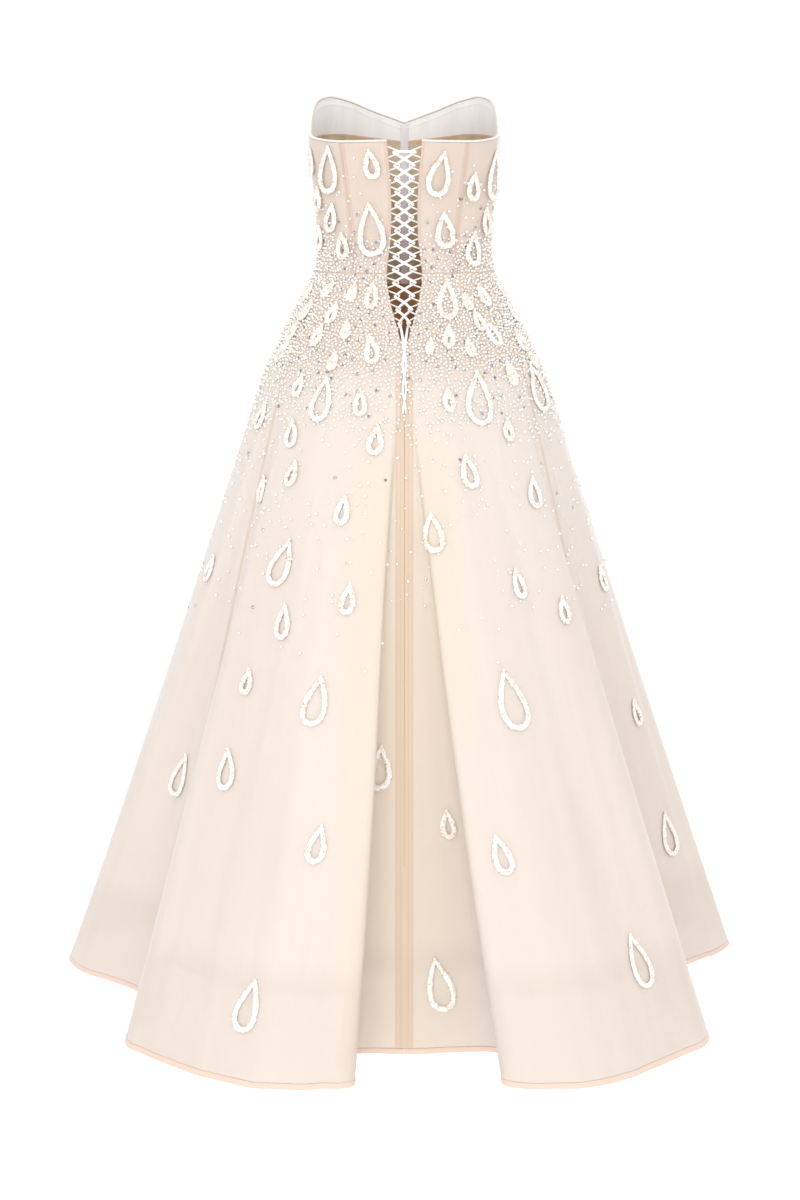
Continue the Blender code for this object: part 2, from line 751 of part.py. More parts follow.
def rows_from(lines, side, surface):
    """Turn columns into rows, with both outer columns half a seam gap in from the seam lines."""
    first = [(walk(surface, angle, height, SEAM_GAP / 2 * side), height) for angle, height in lines[0]]
    last = [(walk(surface, angle, height, -SEAM_GAP / 2 * side), height) for angle, height in lines[-1]]
    lines = [first] + lines[1:-1] + [last]
    if side < 0:
        lines.reverse()
    return [list(row) for row in zip(*lines)]


def bodice_grid(seams, side, columns, surface, bottom, top_trim):
    """List the rows of a bodice panel from one seam to the next."""
    start, end = seams
    lines = []
    for column in range(columns + 1):
        angle_up = blend(start.top_angle, end.top_angle, column / columns)
        top = top_height(angle_up) - top_trim
        is_front = start.waist_angle >= SIDE.waist_angle
        levels = front_levels(angle_up, bottom, top) if is_front else back_levels(bottom, top)
        lines.append(column_line(seams, side, column / columns, levels))
    return rows_from(lines, side, surface)


BODICE_PANELS = (
    ("bodice_centre_back", (CENTRE_BACK, BACK_PRINCESS), 5, BACK_BODICE_DROPS, 1),
    ("bodice_side_back", (BACK_PRINCESS, SIDE), 6, BACK_BODICE_DROPS, 1),
    ("bodice_side_front", (SIDE, FRONT_PRINCESS), 7, FRONT_BODICE_DROPS, -1),
    ("bodice_centre_front", (FRONT_PRINCESS, CENTRE_FRONT), 6, FRONT_BODICE_DROPS, -1),
)


def bodice_drops(drops, seams, side, facing):
    """Pick the drops whose middle lies between a panel's two seams."""
    picked = []
    for drop in drops:
        ends = sorted(side_angle(seam_angle(seam, drop.height), side) for seam in seams)
        found = find_drop(BODY, drop, ends[0], ends[1], facing)
        if found:
            picked.append((found[1], drop))
    return picked


def build_bodice():
    trim = TOP_BINDING_HEIGHT + SEAM_GAP
    for name, seams, columns, drops, facing in BODICE_PANELS:
        for panel, side in both_sides(name):
            grid = bodice_grid(seams, side, columns, BODY, WAIST_SEAM + SEAM_GAP / 2, trim)
            wall(panel, BODY, grid, 0.0, -TULLE, BLUSH, bodice_drops(drops, seams, side, facing))


def build_top_binding():
    """Bind the top edge, from each edge of the lacing gap round to the centre front."""
    inner = -(TULLE + SEAM_GAP + LINING + SEAM_GAP)
    for binding, side in both_sides("top_binding"):
        lines = []
        for _, (start, end), columns, _, _ in BODICE_PANELS:
            for column in range(1 if lines else 0, columns + 1):
                top = top_height(blend(start.top_angle, end.top_angle, column / columns))
                levels = (top - TOP_BINDING_HEIGHT, top)
                lines.append(column_line((start, end), side, column / columns, levels))
        wall(binding, BODY, rows_from(lines, side, BODY), BINDING_PROUD, inner, IVORY)


def build_inside_front():
    """Line the front: an ivory facing at the top, a tan lining below it and a bone casing down the centre."""
    outer = -(TULLE + SEAM_GAP)
    trim = TOP_BINDING_HEIGHT + SEAM_GAP
    below = BODICE_ROWS - FACING_ROWS
    fronts = [panel for panel in BODICE_PANELS if panel[-1] < 0]
    for (facing, side), (lining, _) in zip(both_sides("neck_facing"), both_sides("front_lining")):
        grids = [bodice_grid(panel[1], side, panel[2], CORSET, WAIST_SEAM, trim) for panel in fronts]
        rows = [near[:-1] + far[1:] for near, far in zip(*grids[::side])]
        wall(facing, CORSET, rows[below:], outer, outer - LINING, IVORY)
        foot = [(place, CORSET_FOOT) for place, _ in rows[0]]
        upper = [(place, height - SEAM_GAP) for place, height in rows[below]]
        wall(lining, CORSET, [foot] + rows[:below] + [upper], outer, outer - LINING, TAN)

    half = math.degrees(CASING_WIDTH / 2 / SECTIONS[-2].front_depth)
    middle = CENTRE_FRONT.waist_angle
    levels = [CORSET_FOOT] + front_levels(middle, WAIST_SEAM, top_height(middle) - trim)
    grid = [[(middle - half, height), (middle, height), (middle + half, height)] for height in levels]
    face = outer - LINING - SEAM_GAP
    wall("bone_casing", CORSET, grid, face, face - CASING_THICKNESS, LILAC)


def no_inset(_height):
    return 0.0


def no_extra_gap(_height):
    return 0.0


def skirt_grid(surface, marks, levels):
    """List the rows of a skirt panel, with both its edges half a seam gap in from the seam lines."""
    grid = []
    for height in levels:
        row = [(mark, height) for mark in marks]
        row[0] = (walk(surface, marks[0], height, SEAM_GAP / 2), height)
        row[-1] = (walk(surface, marks[-1], height, -SEAM_GAP / 2), height)
        grid.append(row)
    return grid


def gore_edges(plan):
    """Give each gore's seams: the centre back seam, and the middle of each valley between two folds."""
    seams = [0.0]
    for index in range(1, len(FOLDS)):
        end_of_fold = plan.places[6 * index]
        start_of_next = plan.places[6 * index + 1]
        seams.append((end_of_fold + start_of_next) / 2)
    seams.append(plan.length)
    return list(zip(seams, seams[1:]))


def skirt_drops(surface, start, end):
    """Pick the drops that a gore carries on the layer seen from behind and from the front."""
    picked = []
    for drops, facing in ((BACK_SKIRT_DROPS, 1), (FRONT_SKIRT_DROPS, -1)):
        for drop in drops:
            found = find_drop(surface, drop, start, end, facing)
            if found:
                picked.append((found[0], found[1], drop))
    return picked


def build_skirt(plan):
    """Build the seven gores, and hang each drop on the one gore that is seen where it lies."""
    gores = []
    seen = {}
    bottom = HEM + BINDING_HEIGHT + SEAM_GAP
    levels = [bottom] + sorted(SKIRT_ROWS) + [WAIST_SEAM - SEAM_GAP / 2]
    for fold, (start, end) in zip(FOLDS, gore_edges(plan)):
        surface = skirt_surface(plan, (start + end) / 2, no_inset, HEM, no_extra_gap)
        gores.append((fold.name, surface, start, end))
        for nearness, place, drop in skirt_drops(surface, start, end):
            if drop not in seen or nearness > seen[drop][0]:
                seen[drop] = (nearness, fold.name, place)
    for name, surface, start, end in gores:
        marks = plan.columns(start, end, COLUMN_TURN, COLUMN_RUN)
        drops = [(place, drop) for drop, (_, gore, place) in seen.items() if gore == name]
        wall("skirt_" + name, surface, skirt_grid(surface, marks, levels), 0.0, -TULLE, BLUSH, drops)


def build_hem_binding(plan):
    """Bind the hem in two halves that meet at the centre back and the centre front."""
    middle = plan.length / 2
    for suffix, start, end in (("right", 0.0, middle), ("left", middle, plan.length)):
        surface = skirt_surface(plan, (start + end) / 2, no_inset, HEM, no_extra_gap)
        marks = [start]
        for gore_start, gore_end in gore_edges(plan):
            columns = plan.columns(gore_start, gore_end, COLUMN_TURN, COLUMN_RUN)
            marks += [mark for mark in columns if start < mark < end and mark > marks[-1]]
        grid = skirt_grid(surface, marks + [end], (HEM, HEM + BINDING_HEIGHT))
        wall("hem_binding_" + suffix, surface, grid, BINDING_PROUD, BINDING_PROUD - BINDING_THICKNESS, ROSE)


def build_underskirt():
    """Hang the underskirt's two halves inside the folds, sewn in just below the waist seam."""
    inset = UNDERSKIRT_VALLEY_INSET
    rows = plan_rows(inset, UNDERSKIRT_NOSE_INSET, UNDERSKIRT_NOSE_TURN, CENTRE_BACK_HEM - inset)
    plan = HemPlan(rows)

    def inset_at(height):
        share = clamp((UNDERSKIRT_TOP - height) / (UNDERSKIRT_TOP - HIP), 0.0, 1.0)
        return blend(UNDERSKIRT_TOP_INSET, UNDERSKIRT_HIP_INSET, share)

    levels = [UNDERSKIRT_HEM] + sorted(UNDER_ROWS) + [UNDERSKIRT_TOP]
    middle = plan.length / 2
    for suffix, start, end in (("right", 0.0, middle), ("left", middle, plan.length)):
        surface = skirt_surface(plan, (start + end) / 2, inset_at, HEM, under_gap)
        marks = plan.columns(start, end, UNDER_COLUMN_TURN, UNDER_COLUMN_RUN)
        wall("underskirt_" + suffix, surface, skirt_grid(surface, marks, levels), 0.0, -LINING, IVORY)


def under_gap(height):
    """The underlayers stop further from the lacing gap than the skirt does."""
    low, high = UNDER_GAP_FADE
    return UNDER_GAP_EXTRA * clamp((height - low) / (high - low), 0.0, 1.0)


def build_skirt_lining():
    """Hang a plain cone of lining inside the underskirt, in two halves."""

    def inset_at(height):
        share = clamp((LINING_TOP - height) / (LINING_TOP - HIP), 0.0, 1.0)
        return blend(LINING_TOP_INSET, LINING_HIP_INSET, share)

    def point(angle, height):
        turned = open_gap(angle, height, under_gap(height))
        body = body_ellipse(turned, max(height, HIP))
        shrink = 1 - inset_at(max(height, HIP)) / Vector((body.x, body.y)).length
        share = max(0.0, (HIP - height) / (HIP - LINING_HEM))
        turn = math.radians(turned)
        hem = Vector((-LINING_HEM_RADIUS * math.sin(turn), LINING_HEM_RADIUS * math.cos(turn), 0.0))
        spot = Vector((body.x * shrink, body.y * shrink, 0.0)).lerp(hem, share)
        return Vector((spot.x, spot.y, height))

    surface = Surface(point, body_flat, ANGLE_STEP)
    levels = [LINING_HEM] + [level for level in sorted(UNDER_ROWS) if level >= HIP] + [LINING_TOP]
    half = FULL_TURN / 2
    for suffix, start in (("right", 0.0), ("left", half)):
        marks = [start + half * column / LINING_COLUMNS for column in range(LINING_COLUMNS + 1)]
        wall("skirt_lining_" + suffix, surface, skirt_grid(surface, marks, levels), 0.0, -LINING, TAN)


def build_seam_allowances(plan):
    """Lay the centre back seam's allowances against the inside of the skirt."""
    middle_levels = [level for level in sorted(SKIRT_ROWS) if level < ALLOWANCE_TOP]
    levels = [HEM + BINDING_HEIGHT + SEAM_GAP] + middle_levels + [ALLOWANCE_TOP]
    outer = -(TULLE + ALLOWANCE_SEAT)
    for (allowance, side), seam in zip(both_sides("seam_allowance"), (0.0, plan.length)):
        surface = skirt_surface(plan, seam, no_inset, HEM, no_extra_gap)
        grid = []
        for height in levels:
            grown = clamp((ALLOWANCE_TOP - height) / ALLOWANCE_GROWTH, 0.0, 1.0)
            width = blend(ALLOWANCE_TOP_WIDTH, ALLOWANCE_WIDTH, grown)
            near = walk(surface, seam, height, SEAM_GAP / 2 * side)
            centre = walk(surface, seam, height, width / 2 * side)
            far = walk(surface, centre, height, width / 2 * side)
            row = [(place, height) for place in (near, centre, far)]
            grid.append(row if side > 0 else row[::-1])
        wall(allowance, surface, grid, outer, outer - LINING, ROSE)


def tube(name, points, radius, colour):
    """Make a cord through the points."""
    curve = bpy.data.curves.new(name, "CURVE")
    curve.dimensions = "3D"
    curve.bevel_depth = radius
    curve.bevel_resolution = 2
    curve.use_fill_caps = True
    line = curve.splines.new("POLY")
    line.points.add(len(points) - 1)
    for spot, point in zip(line.points, points):
        spot.co = (point.x, point.y, point.z, 1.0)
    line.use_smooth = True
    return place_object(name, curve, colour, 0.6)


def back_point(x, height, out):
    """Return the point over the lacing gap at a distance across from the centre back, moved out."""
    angle = -math.degrees(math.asin(x / table_value(SECTIONS, "half_width", height)))
    return lift(CLOSED_BODY, angle, height, out)


def lace_height(level):
    return blend(FIRST_LOOP, LAST_LOOP, level / (LACE_LEVELS - 1))


def loop_root(height):
    """Return how far out from the centre back a loop's cord goes in under the panel's edge."""
    return gap_half_width(height) + LOOP_TUCK


def loop_tip(height):
    """Return how far out from the centre back a loop's tip is drawn by the lace."""
    return gap_half_width(height) * LOOP_TIP_SHARE


def build_loops():
    """Run a zigzag cord down each edge of the lacing gap, from under the panel's edge to each loop's tip."""
    for loops, wearer_side in both_sides("lacing_loops"):
        side = -wearer_side
        points = []
        for level in range(LACE_LEVELS):
            tip = lace_height(level)
            root = tip + LOOP_SPACING / 2
            points.append(back_point(side * loop_root(root), root, -LOOP_DEPTH))
            points.append(back_point(side * loop_tip(tip), tip, -LOOP_DEPTH))
        root = LAST_LOOP - LOOP_SPACING / 2
        points.append(back_point(side * loop_root(root), root, -LOOP_DEPTH))
        tube(loops, points, LOOP_RADIUS, WHITE)


def hook_height(height, across):
    """Return the height halfway between a loop's two legs, at a distance out from the centre back."""
    tip = loop_tip(height)
    above = (across - tip) / (loop_root(height + LOOP_SPACING / 2) - tip)
    below = (across - tip) / (loop_root(height - LOOP_SPACING / 2) - tip)
    return height + (above - below) * LOOP_SPACING / 4


def lace_hook(height):
    """Return how far out the lace turns inside a loop, where it still clears the loop's lower cord."""
    tip = loop_tip(height)
    rise = LOOP_SPACING / 2
    slant = math.hypot(loop_root(height - rise) - tip, rise)
    return tip + LACE_HOOK_GAP * slant / rise


def lace_strand(first_side):
    """List one strand's points from the lowest loop to the top one, over and under the loops in turn."""
    points = []
    for level in range(LACE_LEVELS - 1, -1, -1):
        height = lace_height(level)
        side = first_side if level % 2 == 0 else -first_side
        over = first_side if level % 2 == 0 else -first_side
        hook = lace_hook(height)
        if not points:
            leave = over * LACE_CLEARANCE - LOOP_DEPTH
            points.append(back_point(side * LACE_LEAVE_SIDE, height - LACE_LEAVE_DROP, leave))
        middle = hook_height(height, hook)
        near = side * (hook - LACE_NEAR)
        points.append(back_point(near, middle - LACE_STEP, over * LACE_CLEARANCE - LOOP_DEPTH))
        points.append(back_point(side * hook, middle, -LOOP_DEPTH))
        points.append(back_point(near, middle + LACE_STEP, -over * LACE_CLEARANCE - LOOP_DEPTH))
        if level > 0:
            crossing = height + LOOP_SPACING / 2
            points.append(back_point(0.0, crossing, -over * LACE_CROSSING - LOOP_DEPTH))
    return points


def lace_tail(plan, twist_start):
    """List a free end's points down its twist to the tip."""
    skirt = skirt_surface(plan, 0.0, no_inset, HEM, no_extra_gap)
    points = []
    for step in range(TWIST_STEPS + 1):
        height = blend(TWIST_TOP, LACE_END, step / TWIST_STEPS)
        turn = twist_start + 2 * math.pi * TWIST_TURNS * step / TWIST_STEPS
        depth = skirt.point(0.0, height).y if height < HIP else body_ellipse(0.0, height).y
        out = TWIST_SEAT + TWIST_RADIUS * math.sin(turn)
        points.append(Vector((TWIST_RADIUS * math.cos(turn), depth + out, height)))
    return points


def build_lace(plan):
    """Lace the gown with one cord: up the loops, across the top, down again, and two free ends."""
    rising = lace_strand(-1)
    falling = lace_strand(1)[::-1]
    ends = (0.0, math.pi) if rising[0].x > 0 else (math.pi, 0.0)
    start = lace_tail(plan, ends[0])[::-1]
    end = lace_tail(plan, ends[1])
    tube("lace", start + rising + falling + end, LACE_RADIUS, WHITE)


def build_gown():
    clear_scene()
    plan = HemPlan(plan_rows(0.0, 0.0, 0.0, CENTRE_BACK_HEM))
    build_bodice()
    build_top_binding()
    build_inside_front()
    build_skirt(plan)
    build_hem_binding(plan)
    build_underskirt()
    build_skirt_lining()
    build_seam_allowances(plan)
    build_loops()
    build_lace(plan)


build_gown()
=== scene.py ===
"""The looks of a strapless ball gown of blush tulle, laced up the centre back and filled out as if worn.

Metres, +Z up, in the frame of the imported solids. The origin is the centre of the waist and the back of
the gown faces +Y. An angle round the gown is in degrees from the centre back and grows towards -X, the
wearer's right. Every sheet of cloth is a fine closed shell on the surface that its solid follows, with
its creases added. The trims, cords, padded drops and beads are placed on those surfaces, so they sit on
the cloth from every side.
"""

import math
from collections import namedtuple

import bmesh
import bpy
import numpy as np
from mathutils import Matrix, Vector


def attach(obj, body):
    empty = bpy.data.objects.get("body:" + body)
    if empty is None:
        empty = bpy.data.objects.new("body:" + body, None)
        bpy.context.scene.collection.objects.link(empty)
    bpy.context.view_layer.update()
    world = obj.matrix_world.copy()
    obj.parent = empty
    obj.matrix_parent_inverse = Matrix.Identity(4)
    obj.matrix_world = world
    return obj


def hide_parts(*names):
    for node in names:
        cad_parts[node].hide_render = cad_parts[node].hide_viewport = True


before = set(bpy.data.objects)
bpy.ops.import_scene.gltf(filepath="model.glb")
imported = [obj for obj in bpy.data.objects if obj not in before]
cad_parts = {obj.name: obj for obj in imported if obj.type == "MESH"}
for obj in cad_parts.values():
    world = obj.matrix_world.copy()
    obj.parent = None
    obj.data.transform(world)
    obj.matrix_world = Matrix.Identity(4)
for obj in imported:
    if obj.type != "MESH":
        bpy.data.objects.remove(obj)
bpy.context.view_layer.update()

# Heights above the waist
WAIST_SEAM = -0.030
HIP = -0.180
HEM = -1.096
CORSET_FOOT = -0.054
CORSET_DRAW = 0.0018

# Cloth and trim
TULLE = 0.0018
LINING = 0.0012
SEAM_GAP = 0.0003
BINDING_HEIGHT = 0.008
BINDING_THICKNESS = 0.0030
TOP_BINDING_HEIGHT = 0.0035
BINDING_PROUD = 0.0006
TOP_BINDING_FLAT = 0.010
HEM_BINDING_FLAT = 0.011
CASING_WIDTH = 0.010

# The body of the gown: ellipses whose depth differs at the back and the front
Section = namedtuple("Section", "height half_width back_depth front_depth")
SECTIONS = (
    Section(-0.180, 0.208, 0.172, 0.166),
    Section(-0.130, 0.184, 0.146, 0.143),
    Section(-0.090, 0.164, 0.123, 0.123),
    Section(-0.060, 0.147, 0.106, 0.110),
    Section(-0.030, 0.132, 0.094, 0.100),
    Section(0.000, 0.127, 0.089, 0.096),
    Section(0.050, 0.129, 0.091, 0.102),
    Section(0.100, 0.133, 0.096, 0.110),
    Section(0.150, 0.138, 0.102, 0.115),
    Section(0.230, 0.140, 0.108, 0.112),
)

# The cups stand out of the front and meet in a shallow hollow at the centre
CUP_ANGLE = 138.0
CUP_SPREAD = 24.0
CUP_HEIGHT = 0.125
CUP_RISE = 0.055
CUP_DEPTH = 0.020

# The top edge: level at the back, steep at the side, and a sweetheart curve at the front
TopEdge = namedtuple("TopEdge", "angle height")
TOP_EDGE = (
    TopEdge(0.0, 0.159),
    TopEdge(40.0, 0.158),
    TopEdge(70.0, 0.163),
    TopEdge(90.0, 0.172),
    TopEdge(103.0, 0.203),
    TopEdge(116.0, 0.219),
    TopEdge(130.0, 0.224),
    TopEdge(144.0, 0.219),
    TopEdge(160.0, 0.205),
    TopEdge(180.0, 0.187),
)

# The lower edge of the ivory facing inside the front
FacingEdge = namedtuple("FacingEdge", "angle height")
FACING_EDGE = (
    FacingEdge(90.0, 0.154),
    FacingEdge(116.0, 0.163),
    FacingEdge(140.0, 0.166),
    FacingEdge(160.0, 0.161),
    FacingEdge(180.0, 0.155),
)

# The open lacing gap at the centre back, down to where the skirt's seam starts
Gap = namedtuple("Gap", "height half_width")
GAP = (
    Gap(-0.180, 0.0),
    Gap(-0.138, 0.0),
    Gap(-0.119, 0.0060),
    Gap(-0.091, 0.0143),
    Gap(-0.062, 0.0218),
    Gap(-0.036, 0.0255),
    Gap(-0.008, 0.0230),
    Gap(0.022, 0.0195),
    Gap(0.057, 0.0185),
    Gap(0.104, 0.0203),
    Gap(0.160, 0.0255),
)
GAP_FADE_ANGLE = 30.0

# The bodice's seams, whose angle changes a little between the waist and the top edge
Seam = namedtuple("Seam", "waist_angle top_angle")
CENTRE_BACK = Seam(0.0, 0.0)
BACK_PRINCESS = Seam(34.0, 41.0)
SIDE = Seam(92.0, 92.0)
FRONT_PRINCESS = Seam(146.0, 140.0)
CENTRE_FRONT = Seam(180.0, 180.0)
SEAM_TOP = 0.160

# The skirt's large folds. Each one rises from a valley to a nose, runs across its face to the other nose and
# falls to the next valley. The angles at the hip say where it dies away. A tuck moves a valley past its nose.
Fold = namedtuple(
    "Fold",
    "name hip_from hip_to hem_from hem_to valley_from nose_from third two_thirds nose_to valley_to"
    " tuck_from tuck_to",
)
FOLDS = (
    Fold("back_right", 1.5, 53, 15.3, 54.0, 0.412, 0.520, 0.566, 0.553, 0.536, 0.420, 4.5, 9.0),
    Fold("outer_right", 62, 114, 89.0, 107.0, 0.396, 0.430, 0.487, 0.527, 0.524, 0.468, -11.0, 9.0),
    Fold("front_right", 119, 147, 126.0, 146.0, 0.458, 0.500, 0.524, 0.526, 0.508, 0.462, -4.0, 4.0),
    Fold("centre_front", 152, 208, 162.0, 198.0, 0.462, 0.506, 0.528, 0.528, 0.508, 0.462, -4.0, 5.0),
    Fold("front_left", 213, 241, 215.0, 235.0, 0.460, 0.504, 0.527, 0.528, 0.506, 0.462, -4.0, 4.0),
    Fold("outer_left", 246, 298, 252.0, 271.0, 0.464, 0.512, 0.526, 0.527, 0.512, 0.420, -5.0, 17.0),
    Fold("back_left", 307, 358.5, 309.4, 351.5, 0.414, 0.512, 0.537, 0.547, 0.515, 0.402, -9.0, -4.0),
)
NOSE_HIP_STEP = 3.0
CENTRE_BACK_HEM = 0.386
MEAN_HEM = 0.500
FOLD_GROWTH = 1.25
FULL_TURN = 360.0

# The underskirt follows the folds from inside, and the lining under it is a plain cone
UNDERSKIRT_TOP = -0.036
UNDERSKIRT_TOP_INSET = 0.0030
UNDERSKIRT_HIP_INSET = 0.005
UNDERSKIRT_VALLEY_INSET = 0.014
UNDERSKIRT_NOSE_INSET = 0.026
UNDERSKIRT_NOSE_TURN = 2.2
UNDERSKIRT_HEM = -0.986
UNDER_GAP_EXTRA = 0.009
UNDER_GAP_FADE = (-0.145, -0.115)
LINING_TOP = -0.042
LINING_TOP_INSET = 0.0052
LINING_HIP_INSET = 0.010
LINING_HEM = -0.945
LINING_HEM_RADIUS = 0.332
ALLOWANCE_WIDTH = 0.0125
ALLOWANCE_TOP_WIDTH = 0.004
ALLOWANCE_TOP = -0.200
ALLOWANCE_GROWTH = 0.200
ALLOWANCE_COLUMNS = 6

# Lacing
LACE_LEVELS = 14
FIRST_LOOP = 0.141
LAST_LOOP = -0.098
LOOP_SPACING = (FIRST_LOOP - LAST_LOOP) / (LACE_LEVELS - 1)
LOOP_TIP_SHARE = 0.32
LOOP_TUCK = 0.0030
LOOP_DEPTH = 0.0031
LACE_HOOK_GAP = 0.0034
LACE_NEAR = 0.0014
LACE_STEP = 0.0012
LACE_CLEARANCE = 0.0036
LACE_CROSSING = 0.0020
LACE_LEAVE_SIDE = 0.0052
LACE_LEAVE_DROP = 0.0065
LACE_END = -0.221
TWIST_TOP = -0.120
TWIST_RADIUS = 0.0021
TWIST_SEAT = 0.0046
TWIST_TURNS = 1.5
TWIST_STEPS = 10

# Padded drops, as seen from behind or from the front: the middle's distance to the right, and its height
Drop = namedtuple("Drop", "across height length lean")
BACK_BODICE_DROPS = (
    Drop(-0.108, 0.118, 0.072, 6),
    Drop(-0.047, 0.126, 0.046, -8),
    Drop(-0.047, 0.034, 0.080, -6),
    Drop(0.050, 0.112, 0.068, 10),
    Drop(0.098, 0.094, 0.045, 4),
    Drop(0.057, 0.033, 0.056, -4),
    Drop(0.128, 0.110, 0.076, 0),
    Drop(0.117, 0.045, 0.044, -6),
    Drop(-0.133, 0.128, 0.044, 0),
    Drop(-0.123, 0.076, 0.040, 4),
    Drop(-0.104, 0.050, 0.046, 10),
    Drop(-0.088, 0.010, 0.042, -8),
    Drop(-0.121, 0.020, 0.040, 0),
    Drop(0.098, 0.006, 0.054, 6),
)
# Small drops crowd the hip among the beads
HIP_DROPS = (
    Drop(-0.101, -0.084, 0.034, 6),
    Drop(-0.139, -0.082, 0.034, 14),
    Drop(-0.122, -0.115, 0.034, 8),
    Drop(-0.158, -0.112, 0.034, 16),
    Drop(-0.082, -0.106, 0.030, -4),
    Drop(-0.100, -0.150, 0.030, 4),
    Drop(0.104, -0.094, 0.034, -6),
    Drop(0.092, -0.131, 0.030, -4),
    Drop(0.036, -0.128, 0.026, 2),
    Drop(0.155, -0.086, 0.034, -14),
    Drop(0.165, -0.126, 0.036, -16),
    Drop(0.088, -0.068, 0.028, -2),
    Drop(0.182, -0.152, 0.034, -18),
    Drop(0.150, -0.166, 0.034, -8),
)
BACK_SKIRT_DROPS = (
    Drop(-0.108, -0.052, 0.030, 30),
    Drop(-0.138, -0.058, 0.030, 20),
    Drop(-0.073, -0.054, 0.031, 0),
    Drop(-0.046, -0.059, 0.040, 6),
    Drop(0.061, -0.064, 0.060, 8),
    Drop(0.138, -0.052, 0.030, 0),
    Drop(0.112, -0.060, 0.036, -12),
    Drop(-0.046, -0.132, 0.044, -8),
    Drop(0.063, -0.115, 0.036, 4),
    Drop(0.124, -0.112, 0.044, -24),
    Drop(-0.174, -0.141, 0.040, 24),
    Drop(-0.116, -0.202, 0.066, 4),
    Drop(-0.150, -0.186, 0.036, 10),
    Drop(-0.062, -0.205, 0.041, -6),
    Drop(-0.040, -0.255, 0.046, 4),
    Drop(0.062, -0.201, 0.036, 0),
    Drop(0.105, -0.200, 0.080, 8),
    Drop(0.151, -0.170, 0.036, -8),
    Drop(0.192, -0.193, 0.074, 0),
    Drop(-0.206, -0.234, 0.044, 6),
    Drop(-0.160, -0.252, 0.044, -10),
    Drop(-0.158, -0.306, 0.040, 8),
    Drop(0.230, -0.243, 0.046, 0),
    Drop(0.147, -0.246, 0.036, 10),
    Drop(-0.203, -0.335, 0.042, -6),
    Drop(-0.086, -0.351, 0.044, 4),
    Drop(0.090, -0.299, 0.050, -4),
    Drop(0.184, -0.334, 0.048, 10),
    Drop(0.040, -0.380, 0.058, 0),
    Drop(-0.285, -0.461, 0.044, 0),
    Drop(-0.172, -0.427, 0.070, 12),
    Drop(-0.170, -0.505, 0.052, -6),
    Drop(-0.078, -0.469, 0.045, 4),
    Drop(0.160, -0.453, 0.045, -4),
    Drop(0.225, -0.496, 0.042, 6),
    Drop(0.294, -0.483, 0.042, 0),
    Drop(-0.220, -0.590, 0.040, 0),
    Drop(-0.121, -0.603, 0.070, 6),
    Drop(0.147, -0.602, 0.084, -6),
    Drop(0.350, -0.690, 0.045, 0),
    Drop(-0.248, -0.708, 0.060, -10),
    Drop(-0.330, -0.764, 0.070, 8),
    Drop(-0.034, -0.704, 0.066, 0),
    Drop(-0.118, -0.787, 0.054, 8),
    Drop(0.061, -0.782, 0.044, 0),
    Drop(0.132, -0.800, 0.055, -10),
    Drop(0.405, -0.885, 0.074, 6),
    Drop(0.324, -0.960, 0.076, -6),
    Drop(-0.210, -0.995, 0.072, 10),
    Drop(0.049, -1.000, 0.078, -8),
)
FRONT_BODICE_DROPS = (
    Drop(-0.030, 0.118, 0.056, 8),
    Drop(0.034, 0.060, 0.070, -6),
    Drop(-0.034, 0.020, 0.048, 4),
    Drop(0.068, 0.150, 0.052, -10),
    Drop(-0.110, 0.112, 0.052, 10),
    Drop(0.096, 0.052, 0.054, 6),
    Drop(-0.092, 0.024, 0.046, -6),
)
FRONT_SKIRT_DROPS = (
    Drop(-0.048, -0.080, 0.048, 6),
    Drop(0.052, -0.090, 0.042, -6),
    Drop(0.128, -0.150, 0.056, 4),
    Drop(-0.030, -0.170, 0.060, -8),
    Drop(-0.130, -0.215, 0.066, 10),
    Drop(0.052, -0.250, 0.070, 0),
    Drop(0.160, -0.320, 0.050, 8),
    Drop(-0.060, -0.360, 0.048, -4),
    Drop(-0.190, -0.430, 0.060, 0),
    Drop(0.070, -0.480, 0.052, 6),
    Drop(-0.080, -0.600, 0.074, -8),
    Drop(0.260, -0.620, 0.060, 4),
    Drop(0.040, -0.760, 0.060, 0),
    Drop(-0.270, -0.800, 0.066, 8),
    Drop(0.220, -0.900, 0.072, -6),
    Drop(-0.060, -0.960, 0.070, 6),
)
DROP_WIDTH = 0.54
DROP_TUBE = 0.0075
DROP_TAPER = 1.3
DROP_INNER_FALL = 0.00125

# How fine the cloth is, in metres of cloth a step
BODICE_STEP = 0.0032
SKIRT_ROW_STEP = 0.0090
SKIRT_PLACE_STEP = 0.026
UNDER_ROW_STEP = 0.0190
UNDER_PLACE_STEP = 0.040
LINING_ANGLE_STEP = 3.0
LINING_ROW_STEP = 0.02
ORGANZA = 0.0008
ANGLE_STEP = 0.02
PLACE_STEP = 0.002
HEIGHT_STEP = 0.001
WALK_STEPS = 3
SHARP_ANGLE = math.radians(60)

